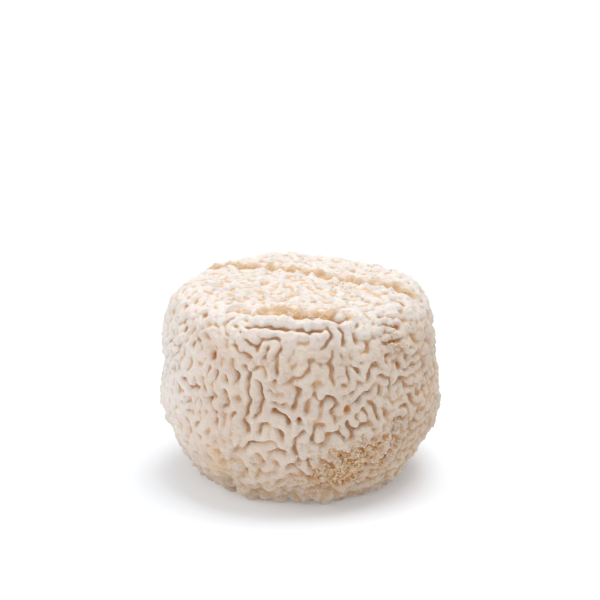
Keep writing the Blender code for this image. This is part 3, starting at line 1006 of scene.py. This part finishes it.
class NodeSheet:
    """Adds nodes to a tree and links them, so that a finish reads as a list of steps."""

    def __init__(self, tree: bpy.types.NodeTree) -> None:
        """Starts on an empty tree.

        Args:
            tree: the tree that the nodes go into.
        """
        self.tree = tree
        tree.nodes.clear()

    def feed(self, socket: bpy.types.NodeSocket, value: object) -> None:
        """Fills a socket.

        Args:
            socket: the socket.
            value: another node's socket to link it to, or else its value.
        """
        if isinstance(value, bpy.types.NodeSocket):
            self.tree.links.new(value, socket)
        else:
            socket.default_value = value

    def add(
        self, kind: str, inputs: dict[int | str, object] | None = None, **settings: object
    ) -> bpy.types.Node:
        """Adds a node.

        Args:
            kind: the node's type.
            inputs: a value or another node's socket for each input that isn't left alone.
            settings: the node's own settings.

        Returns:
            The node.
        """
        node = self.tree.nodes.new(kind)
        for name, value in settings.items():
            setattr(node, name, value)
        for socket, value in (inputs or {}).items():
            self.feed(node.inputs[socket], value)
        return node

    def number(self, operation: str, *values: object) -> bpy.types.NodeSocket:
        """One step of arithmetic."""
        return self.add("ShaderNodeMath", dict(enumerate(values)), operation=operation).outputs[0]

    def blend(self, share: object, start: object, end: object) -> bpy.types.NodeSocket:
        """A colour between two others."""
        mix = self.add("ShaderNodeMix", {0: share, 6: start, 7: end}, data_type="RGBA")
        return mix.outputs[2]

    def between(self, value: object, low: float, high: float) -> bpy.types.NodeSocket:
        """Tells how far a value has got between two others.

        Args:
            value: the value.
            low: where it starts to count. It may be the larger of the two.
            high: where it counts in full.

        Returns:
            0 up to the low value, 1 from the high one on, and smooth in between.
        """
        inputs = {0: value, 1: low, 2: high}
        step = self.add("ShaderNodeMapRange", inputs, interpolation_type="SMOOTHSTEP")
        return step.outputs[0]

    def noise(self, size: float, detail: float, roughness: float = 0.5) -> bpy.types.NodeSocket:
        """Makes unordered cloudiness in the object's own space.

        Args:
            size: how large the clouds are, in millimetres.
            detail: how many finer layers they have.
            roughness: how strong each finer layer is.

        Returns:
            A value about 0.5.
        """
        place = self.add("ShaderNodeTexCoord").outputs["Object"]
        inputs = {"Vector": place, "Scale": 1 / (size * MM), "Detail": detail, "Roughness": roughness}
        return self.add("ShaderNodeTexNoise", inputs).outputs[0]

    def painted(self, name: str) -> bpy.types.NodeSocket:
        """A value that is painted on the mesh."""
        return self.add("ShaderNodeAttribute", attribute_name=name).outputs["Fac"]


class ShapeSheet(NodeSheet):
    """A Geometry Nodes tree with named inputs, which makes one mesh out of another."""

    def __init__(self, name: str, inlets: Sequence[str]) -> None:
        """Starts a tree.

        Args:
            name: the tree's name.
            inlets: the names of its number inputs.
        """
        tree = bpy.data.node_groups.new(name, "GeometryNodeTree")
        tree.interface.new_socket("Skin", in_out="INPUT", socket_type="NodeSocketGeometry")
        for inlet in inlets:
            tree.interface.new_socket(inlet, in_out="INPUT", socket_type="NodeSocketFloat")
        tree.interface.new_socket("Shape", in_out="OUTPUT", socket_type="NodeSocketGeometry")
        super().__init__(tree)
        self.given = self.add("NodeGroupInput").outputs

    def layer(self, name: str) -> bpy.types.NodeSocket:
        """A value that is painted on the skin."""
        inputs = {"Name": name}
        return self.add("GeometryNodeInputNamedAttribute", inputs, data_type="FLOAT").outputs[0]

    def clouds(self, size: object, detail: float) -> bpy.types.Node:
        """Makes unordered cloudiness where the skin's points are.

        Args:
            size: how large the clouds are, in metres.
            detail: how many finer layers they have.

        Returns:
            The noise node, whose first output is a value and whose second is a vector.
        """
        place = self.add("GeometryNodeInputPosition").outputs[0]
        scale = self.number("DIVIDE", 1.0, size)
        return self.add("ShaderNodeTexNoise", {"Vector": place, "Scale": scale, "Detail": detail})

    def scaled(self, vector: object, length: object) -> bpy.types.NodeSocket:
        """A vector times a number."""
        inputs = {0: vector, "Scale": length}
        return self.add("ShaderNodeVectorMath", inputs, operation="SCALE").outputs[0]

    def moved(self, shape: object, offset: object) -> bpy.types.NodeSocket:
        """A shape with its points moved."""
        return self.add("GeometryNodeSetPosition", {"Geometry": shape, "Offset": offset}).outputs[0]

    def close(self, shape: object, material: bpy.types.Material) -> None:
        """Makes the shape real, dresses it and ends the tree.

        Args:
            shape: the shape.
            material: its material.
        """
        real = self.add("GeometryNodeRealizeInstances", {"Geometry": shape}).outputs[0]
        dressed = self.add("GeometryNodeSetMaterial", {"Geometry": real, "Material": material})
        self.add("NodeGroupOutput", {"Shape": dressed.outputs[0]})

    def run(self, skin: bpy.types.Mesh, values: dict[str, float]) -> bpy.types.Mesh:
        """Runs the tree on a mesh and keeps the result as a plain mesh.

        Args:
            skin: the mesh that it starts from.
            values: the value of each named input.

        Returns:
            The new mesh, shaded smooth.
        """
        host = placed(self.tree.name, skin)
        modifier = host.modifiers.new(self.tree.name, "NODES")
        modifier.node_group = self.tree
        for socket in self.tree.interface.items_tree:
            if socket.name in values:
                modifier[socket.identifier] = values[socket.name]
        seen = host.evaluated_get(bpy.context.evaluated_depsgraph_get())
        shape = bpy.data.meshes.new_from_object(seen)
        bpy.data.objects.remove(host)
        shape.shade_smooth()
        return shape


@dataclass(frozen=True)
class SurfaceDepth:
    """How light sinks into dry cheese: how much of it, how far in millimetres, and each colour."""

    share: float
    reach: float
    spread: tuple[float, float, float]
    shine: float = 0.3

    def surface(self, sheet: NodeSheet, colour: object, rough: object, normal: object) -> None:
        """Ends a material's tree.

        Args:
            sheet: the material's tree.
            colour: its colour.
            rough: its roughness.
            normal: its outward direction, with all its bumps.
        """
        shader = sheet.add("ShaderNodeBsdfPrincipled", {
            "Base Color": colour,
            "Roughness": rough,
            "Specular IOR Level": self.shine,
            "Subsurface Weight": self.share,
            "Subsurface Radius": self.spread,
            "Subsurface Scale": self.reach * MM,
            "Normal": normal,
        })
        sheet.add("ShaderNodeOutputMaterial", {"Surface": shader.outputs[0]})


@dataclass(frozen=True)
class GrainRelief:
    """The finest relief that the mesh holds: an even grain, and crags where the rind crumbles."""

    grain_size: float = 0.75
    grain_height: float = 0.05
    crag_size: float = 0.55
    crag_height: float = 0.22
    detail: float = 2.0

    def roughen(self, skin: bpy.types.Mesh, material: bpy.types.Material) -> bpy.types.Mesh:
        """Roughens the rind along its own outward direction.

        Args:
            skin: the rind's mesh, with its painted values.
            material: the rind's finish.

        Returns:
            The roughened mesh.
        """
        values = {
            "Grain Size": self.grain_size * MM,
            "Grain Height": self.grain_height * MM,
            "Crag Size": self.crag_size * MM,
            "Crag Height": self.crag_height * MM,
        }
        sheet = ShapeSheet("grain relief", list(values))
        grain, crags = [
            sheet.number("SUBTRACT", sheet.clouds(sheet.given[size], self.detail).outputs[0], 0.5)
            for size in ("Grain Size", "Crag Size")
        ]
        rise = sheet.number("MULTIPLY", grain, sheet.given["Grain Height"])
        steep = sheet.number("MULTIPLY", sheet.layer("crumble"), sheet.given["Crag Height"])
        rise = sheet.number("ADD", rise, sheet.number("MULTIPLY", crags, steep))
        # The clouds lie within a half of their middle, so twice them fills the height given.
        rise = sheet.number("MULTIPLY", rise, sheet.number("MULTIPLY", sheet.layer("free"), 2.0))
        outward = sheet.add("GeometryNodeInputNormal").outputs[0]
        sheet.close(sheet.moved(sheet.given["Skin"], sheet.scaled(outward, rise)), material)
        return sheet.run(skin, values)


@dataclass(frozen=True)
class RindFinish:
    """Dry, matt, powdery rind: cream ridges, tan grooves with painted shade, umber lines of painted
    shade in the creases, ochre pits, and a white bloom with painted light.
    """

    cream: Colour = tint(222, 202, 182)
    blush: Colour = tint(215, 190, 169)
    # Tan for the hollows: the rind's own tan there, with painted shade.
    tan: Colour = tint(222, 182, 142)
    # Umber for the narrow crease lines: painted shade, with the rind's own darker brown in the
    # creases.
    umber_and_shade: Colour = tint(202, 148, 100)
    ochre: Colour = tint(206, 138, 70)
    straw: Colour = tint(214, 176, 128)
    low_tan: Colour = tint(206, 176, 144)
    # White for the powdery bloom, also used as painted light on the top, the left side and the
    # crests.
    bloom_and_light: Colour = tint(243, 240, 237)
    cloud_size: float = 6.0
    cloud_span: Span = (0.35, 0.65)
    mottle_size: float = 0.9
    grain_size: float = 0.32
    raggedness: float = 0.6
    groove_span: Span = (0.15, 1.1)
    groove_tan_and_shade: float = 0.8
    line_span: Span = (0.45, 0.75)
    line_umber_and_shade: float = 0.45
    straw_span: Span = (0.1, 1.0)
    ochre_span: Span = (0.2, 0.9)
    powder_span: Span = (0.5, 0.68)
    powdering: float = 0.5
    ridge_span: Span = (0.0, -0.6)
    # How much white the crests get: dust with a painted highlight.
    crest_dust_and_highlight: float = 0.28
    roughness: float = 0.74
    roughness_span: float = 0.2
    line_edge: float = 0.12
    mottle_bump: float = 0.30
    grain_bump: float = 0.16
    crumbly_bump: float = 1.2
    depth: SurfaceDepth = SurfaceDepth(share=0.35, reach=0.45, spread=(1.0, 0.55, 0.3))

    def make(self) -> bpy.types.Material:
        """Builds the rind's material.

        Returns:
            The material.
        """
        material = plain_material("crottin rind")
        sheet = NodeSheet(material.node_tree)
        clouds = sheet.noise(self.cloud_size, 2)
        mottle = sheet.noise(self.mottle_size, 3, 0.6)
        grain = sheet.noise(self.grain_size, 3, 0.65)

        ragged = sheet.number("MULTIPLY_ADD", mottle, self.raggedness, -self.raggedness / 2)
        groove = sheet.number("ADD", sheet.painted("groove"), ragged)
        in_groove = sheet.between(groove, *self.groove_span)
        on_ridge = sheet.between(groove, *self.ridge_span)
        line = sheet.number("ADD", sheet.painted("line"), ragged)
        in_line = sheet.between(line, *self.line_span)

        colour = sheet.blend(sheet.between(clouds, *self.cloud_span), self.cream, self.blush)
        # The low layer: darker tan toward the bottom, and painted shade on the right side.
        colour = sheet.blend(sheet.painted("low"), colour, self.low_tan)
        # The straw layer also carries painted shade on the banks' fronts.
        straw = sheet.number("ADD", sheet.painted("straw"), ragged)
        colour = sheet.blend(sheet.between(straw, *self.straw_span), colour, self.straw)
        # Painted shade in the hollows, in tan, over the rind's own tan there.
        tan_and_shade = sheet.number("MULTIPLY", in_groove, self.groove_tan_and_shade)
        colour = sheet.blend(tan_and_shade, colour, self.tan)
        in_hole = sheet.between(sheet.painted("ochre"), *self.ochre_span)
        colour = sheet.blend(in_hole, colour, self.ochre)
        # Painted shade along the narrow crease lines, in umber.
        browned_and_shaded = sheet.number("MULTIPLY", in_line, self.line_umber_and_shade)
        colour = sheet.blend(browned_and_shaded, colour, self.umber_and_shade)
        powder = sheet.between(grain, *self.powder_span)
        powder = sheet.number("MULTIPLY", powder, self.powdering)
        # Painted highlight on the crests, together with white dust there.
        crests_dusted_and_lit = sheet.number("MULTIPLY", on_ridge, self.crest_dust_and_highlight)
        bloom_and_light = sheet.number("MAXIMUM", powder, crests_dusted_and_lit)
        # The painted bloom layer adds painted light on the top and the left side.
        bloom_and_light = sheet.number("MAXIMUM", bloom_and_light, sheet.painted("bloom_and_light"))
        bare = sheet.number("SUBTRACT", 1.0, sheet.number("MAXIMUM", in_groove, in_line))
        colour = sheet.blend(sheet.number("MULTIPLY", bloom_and_light, bare), colour, self.bloom_and_light)

        least = self.roughness - self.roughness_span / 2
        rough = sheet.number("MULTIPLY_ADD", mottle, self.roughness_span, least)
        rim = sheet.number("SUBTRACT", 1.0, in_line)
        edge = sheet.add("ShaderNodeBump", {"Distance": self.line_edge * MM, "Height": rim})
        bumpy = {"Distance": self.mottle_bump * MM, "Height": mottle, "Normal": edge.outputs[0]}
        lumpy = sheet.add("ShaderNodeBump", bumpy)
        crumbly = sheet.number("MULTIPLY_ADD", sheet.painted("crumble"), self.crumbly_bump, 1.0)
        rise = sheet.number("MULTIPLY", grain, crumbly)
        grainy = {"Distance": self.grain_bump * MM, "Height": rise, "Normal": lumpy.outputs[0]}
        normal = sheet.add("ShaderNodeBump", grainy).outputs[0]
        self.depth.surface(sheet, colour, rough, normal)
        return material


@dataclass
class WrinkledRind:
    """The whole drum's skin, closed, with its relief and its painted values."""

    outline: DrumOutline = field(default_factory=DrumOutline)
    mould: Mould = field(default_factory=Mould)
    wrinkles: Wrinkles = field(default_factory=Wrinkles)
    grain: GrainRelief = field(default_factory=GrainRelief)
    finish: RindFinish = field(default_factory=RindFinish)
    cells: int = 128
    rest_run: float = 58.6
    rest_blend: float = 0.4
    pressed_run: float = 59.9
    straw: tuple[Patch, ...] = (
        Patch(-40, 48.5, 5, 3.5, 0.9),
        Patch(24, 47.0, 13, 3.2, 0.75),
        Patch(14, 50.5, 9, 2.2, 0.6),
        Patch(60, 46.0, 14, 6.0, 0.35),
        Patch(58, 26.0, 6, 5.0, 0.35),
        Patch(-42, 26.5, 4, 1.6, 0.5),
        Patch(150, 44.0, 16, 5.0, 0.7),
    )
    # Painted light: the top is painted whiter with its white mould bloom, and the left side paler.
    top_bloom_and_light: float = 0.72
    top_bloom_and_light_run: float = 24.8
    top_bloom_and_light_blend: float = 1.8
    painted_left_light: tuple[Patch, ...] = (Patch(-80, 34, 30, 15, 0.75),)
    low_tan: float = 0.6
    low_run: float = 47.0
    low_blend: float = 2.5
    # Painted shade on the right side, in tan.
    tan_and_shade: tuple[Patch, ...] = (Patch(58, 45, 20, 7, 0.50), Patch(62, 35, 20, 9, 0.35))
    flaky_run: float = 50.0
    flaky_blend: float = 1.5

    def pressed(self, skin: DrumSkin, points: np.ndarray) -> np.ndarray:
        """Presses the foot flat on the ground and centres the drum over it.

        Args:
            skin: the drum's skin.
            points: its points with their relief, which are changed in place.

        Returns:
            The same points.
        """
        points[:, 2] = np.where(skin.run > self.pressed_run, 0, np.maximum(points[:, 2], 0))
        points[:, :2] -= (points[:, :2].min(0) + points[:, :2].max(0)) / 2
        return points

    def layers(
        self, skin: DrumSkin, relief: Relief, off_ground: np.ndarray
    ) -> dict[str, np.ndarray]:
        """Works out what is painted on the rind for its finish and its crumbs.

        Args:
            skin: the drum's skin.
            relief: what the wrinkles left on it.
            off_ground: 1 on the free skin, 0 on the flat that the drum rests on.

        Returns:
            One value a point, under each layer's name.
        """
        flaky = np.clip(-relief.groove, 0, 1) * fade(skin.run, self.flaky_run, self.flaky_blend)
        # Painted light on the top and the left side, carried in the bloom layer.
        bloom_and_light = self.top_bloom_and_light * fade(skin.run, self.top_bloom_and_light_run, self.top_bloom_and_light_blend)
        bloom_and_light = np.maximum(bloom_and_light, skin.share(self.painted_left_light))
        low = self.low_tan * (1 - fade(skin.run, self.low_run, self.low_blend))
        return {
            "free": off_ground,
            "groove": relief.groove,
            "line": relief.line,
            "ochre": relief.ochre,
            "crumble": relief.crumble,
            "flaky": flaky,
            # The straw layer also carries the painted shade on the banks' fronts.
            "straw": skin.share(self.straw) + relief.bank_shade,
            "bloom_and_light": bloom_and_light * np.clip(1 - relief.bank_shade, 0, 1),
            # Darker tan toward the bottom, and painted shade on the right side.
            "low": np.clip(low + skin.share(self.tan_and_shade), 0, 1),
        }

    @staticmethod
    def paint(mesh: bpy.types.Mesh, name: str, values: np.ndarray) -> None:
        """Keeps one value for each point on the mesh, under a name."""
        layer = mesh.attributes.new(name, "FLOAT", "POINT")
        layer.data.foreach_set("value", values.astype(np.float32))

    def build(self) -> bpy.types.Object:
        """Builds the rind and dresses it.

        Returns:
            The rind's object, standing for the solid drum.
        """
        skin = DrumSkin(self.outline, self.cells)
        off_ground = fade(skin.run, self.rest_run, self.rest_blend)
        moulded = self.mould.shape(skin, off_ground)
        relief = self.wrinkles.grow(skin, moulded)
        outward = skin.normals(moulded)
        rise = outward * relief.height[:, None]
        rise -= relief.slope * self.wrinkles.pinch
        upright = 1 - np.abs(outward[:, 2])
        rise[:, 2] -= self.wrinkles.sag * upright * relief.height
        points = self.pressed(skin, moulded + rise * off_ground[:, None])

        base = skin.mesh
        base.vertices.foreach_set("co", (points * MM).astype(np.float32).ravel())
        base.update()
        base.shade_smooth()
        for name, values in self.layers(skin, relief, off_ground).items():
            self.paint(base, name, values)
        mesh = self.grain.roughen(base, self.finish.make())
        bpy.data.meshes.remove(base)
        rind = placed("wrinkled_rind", mesh)
        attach(rind, "root")
        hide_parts("crottin")
        return rind


class CrumbKind(Enum):
    """How crumbs are shaped: their smallest and largest shares along, across and up."""

    GRAIN = ((0.6, 0.6, 0.5), (1.1, 1.0, 0.9))
    FLAKE = ((0.5, 0.4, 0.12), (1.4, 1.1, 0.3))


@dataclass(frozen=True)
class CrumbFinish:
    """Dry crumbs that go from one colour to another."""

    dark: Colour
    pale: Colour
    cloud_size: float = 0.8
    cloud_span: Span = (0.35, 0.65)
    grain_size: float = 0.2
    roughness: float = 0.8
    roughness_span: float = 0.2
    bump: float = 0.05
    depth: SurfaceDepth = SurfaceDepth(share=0.3, reach=0.2, spread=(1.0, 0.6, 0.35))

    def make(self, name: str) -> bpy.types.Material:
        """Builds the crumbs' material.

        Args:
            name: the material's name.

        Returns:
            The material.
        """
        material = plain_material(name)
        sheet = NodeSheet(material.node_tree)
        clouds = sheet.noise(self.cloud_size, 2)
        grain = sheet.noise(self.grain_size, 2)
        colour = sheet.blend(sheet.between(clouds, *self.cloud_span), self.dark, self.pale)
        least = self.roughness - self.roughness_span / 2
        rough = sheet.number("MULTIPLY_ADD", grain, self.roughness_span, least)
        bump = sheet.add("ShaderNodeBump", {"Distance": self.bump * MM, "Height": grain})
        self.depth.surface(sheet, colour, rough, bump.outputs[0])
        return material


@dataclass(frozen=True)
class Crumbs:
    """Small crumbs strewn over the rind, thickest where a painted value is highest."""

    name: str
    kind: CrumbKind
    finish: CrumbFinish
    layer: str
    per_square_mm: float
    size: float
    seed: int
    wobble: float = 0.35
    wobble_reach: float = 2.5
    gathering: float = 3.0
    roundness: int = 2

    def strew(self, rind: bpy.types.Object) -> bpy.types.Object:
        """Strews the crumbs.

        Args:
            rind: the rind that they lie on.

        Returns:
            The crumbs' object, all of them in one mesh.
        """
        values = {
            "Per Square Metre": self.per_square_mm / MM**2,
            "Radius": self.size / 2 * MM,
            "Wobble": self.wobble * self.size * MM,
        }
        sheet = ShapeSheet(self.name, list(values))
        thick = sheet.number("POWER", sheet.layer(self.layer), self.gathering)
        density = sheet.number("MULTIPLY", thick, sheet.given["Per Square Metre"])
        spots = {"Mesh": sheet.given["Skin"], "Density": density, "Seed": self.seed}
        strewn = sheet.add("GeometryNodeDistributePointsOnFaces", spots)
        ball = {"Radius": sheet.given["Radius"], "Subdivisions": self.roundness}
        low, high = self.kind.value
        drawn = {0: low, 1: high, "Seed": self.seed}
        crumbs = sheet.add("GeometryNodeInstanceOnPoints", {
            "Points": strewn.outputs["Points"],
            "Instance": sheet.add("GeometryNodeMeshIcoSphere", ball).outputs[0],
            "Rotation": strewn.outputs["Rotation"],
            "Scale": sheet.add("FunctionNodeRandomValue", drawn, data_type="FLOAT_VECTOR").outputs[0],
        })
        real = sheet.add("GeometryNodeRealizeInstances", {"Geometry": crumbs.outputs[0]}).outputs[0]
        reach = sheet.number("MULTIPLY", sheet.given["Radius"], self.wobble_reach)
        middle = {0: sheet.clouds(reach, 1.0).outputs[1], 1: (0.5, 0.5, 0.5)}
        push = sheet.add("ShaderNodeVectorMath", middle, operation="SUBTRACT").outputs[0]
        shape = sheet.moved(real, sheet.scaled(push, sheet.given["Wobble"]))
        sheet.close(shape, self.finish.make(self.name.replace("_", " ")))
        crumbs = placed(self.name, sheet.run(rind.data, values))
        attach(crumbs, "root")
        return crumbs


@dataclass(frozen=True)
class LooseCrumbs:
    """What lies loose on the rind: golden grains where it crumbles, pale flakes on its ridges."""

    grains: Crumbs = Crumbs(
        "golden_crumbs",
        CrumbKind.GRAIN,
        CrumbFinish(dark=tint(214, 172, 118), pale=tint(238, 220, 196)),
        layer="crumble",
        per_square_mm=3.0,
        size=0.50,
        seed=21,
    )
    flakes: Crumbs = Crumbs(
        "pale_flakes",
        CrumbKind.FLAKE,
        CrumbFinish(dark=tint(220, 202, 184), pale=tint(236, 224, 212)),
        layer="flaky",
        per_square_mm=0.5,
        size=0.45,
        seed=22,
    )

    def strew(self, rind: bpy.types.Object) -> list[bpy.types.Object]:
        """Strews both kinds over the rind."""
        return [self.grains.strew(rind), self.flakes.strew(rind)]


@dataclass(frozen=True)
class Floor:
    """A plain, pale floor that reaches past the view, lit a little from below as a light table."""

    reach: float = 3.0
    colour: Colour = (0.79, 0.82, 0.86, 1.0)
    cloud_size: float = 8.0
    least_roughness: float = 0.82
    roughness_span: float = 0.1
    glow: float = 0.16

    def build(self) -> bpy.types.Object:
        """Lays the floor.

        Returns:
            The floor's object.
        """
        mesh = bpy.data.meshes.new("floor")
        corners = [(-1, -1), (1, -1), (1, 1), (-1, 1)]
        mesh.from_pydata([(x * self.reach, y * self.reach, 0) for x, y in corners], [], [range(4)])
        material = plain_material("pale floor")
        sheet = NodeSheet(material.node_tree)
        clouds = sheet.noise(self.cloud_size, 3)
        rough = sheet.number("MULTIPLY_ADD", clouds, self.roughness_span, self.least_roughness)
        surface = sheet.add("ShaderNodeBsdfPrincipled", {
            "Base Color": self.colour,
            "Roughness": rough,
            "Emission Color": (1.0, 1.0, 1.0, 1.0),
            "Emission Strength": self.glow,
        })
        sheet.add("ShaderNodeOutputMaterial", {"Surface": surface.outputs[0]})
        mesh.materials.append(material)
        floor = placed("floor", mesh)
        return floor


@dataclass(frozen=True)
class SoftBox:
    """A large square lamp with a soft light."""

    name: str
    place: tuple[float, float, float]
    size: float
    watts: float
    target: tuple[float, float, float] = (0.0, 0.0, 0.015)

    def hang(self) -> bpy.types.Object:
        """Hangs the lamp and turns it to its target.

        Returns:
            The lamp's object.
        """
        light = bpy.data.lights.new(self.name, "AREA")
        light.size = self.size
        light.energy = self.watts
        lamp = placed(self.name, light)
        lamp.location = self.place
        way = Vector(self.target) - Vector(self.place)
        lamp.rotation_euler = way.to_track_quat("-Z", "Y").to_euler()
        return lamp


@dataclass(frozen=True)
class Studio:
    """White surroundings, a large lamp above and behind, and weaker ones at the left and front."""

    surroundings: float = 0.46
    lamps: tuple[SoftBox, ...] = (
        SoftBox("overhead lamp", (0.26, 0.20, 1.45), size=0.9, watts=14.6),
        SoftBox("left lamp", (-0.85, -0.1, 0.55), size=0.8, watts=3.0),
        SoftBox("front lamp", (0.0, -1.2, 0.75), size=0.8, watts=2.2),
    )

    def light(self) -> None:
        """Lights the scene."""
        world = bpy.data.worlds.new("white surroundings")
        world.use_nodes = True
        sheet = NodeSheet(world.node_tree)
        white = {"Color": (1.0, 1.0, 1.0, 1.0), "Strength": self.surroundings}
        surface = sheet.add("ShaderNodeBackground", white).outputs[0]
        sheet.add("ShaderNodeOutputWorld", {"Surface": surface})
        bpy.context.scene.world = world
        bpy.context.scene.view_settings.view_transform = "Standard"
        for lamp in self.lamps:
            lamp.hang()


@dataclass(frozen=True)
class Viewpoint:
    """The camera: a little above the cheese, straight in front of it."""

    elevation: float = 18.0
    distance: float = 0.6
    aim: tuple[float, float, float] = (0.0, 0.0, 0.0317)
    frame_width: float = 0.106
    sensor: float = 36.0

    def place(self) -> bpy.types.Object:
        """Puts the camera in its place.

        Returns:
            The camera's object.
        """
        lens = bpy.data.cameras.new("camera")
        lens.sensor_width = self.sensor
        lens.lens = self.sensor * self.distance / self.frame_width
        camera = placed("camera", lens)
        tilt = math.radians(self.elevation)
        back = Vector((0.0, -math.cos(tilt), math.sin(tilt)))
        camera.location = Vector(self.aim) + back * self.distance
        camera.rotation_euler = (-back).to_track_quat("-Z", "Y").to_euler()
        bpy.context.scene.camera = camera
        return camera


def main() -> None:
    """Builds the cheese, the floor, the light and the camera, in that order."""
    logging.basicConfig(level=logging.INFO, format="%(name)s: %(message)s")
    rind = WrinkledRind().build()
    for piece in [rind, *LooseCrumbs().strew(rind)]:
        log.info("%s: %d faces", piece.name, len(piece.data.polygons))
    floor = Floor().build()
    log.info("%s laid", floor.name)
    Studio().light()
    camera = Viewpoint().place()
    log.info("%s placed", camera.name)


if __name__ == "__main__":
    main()
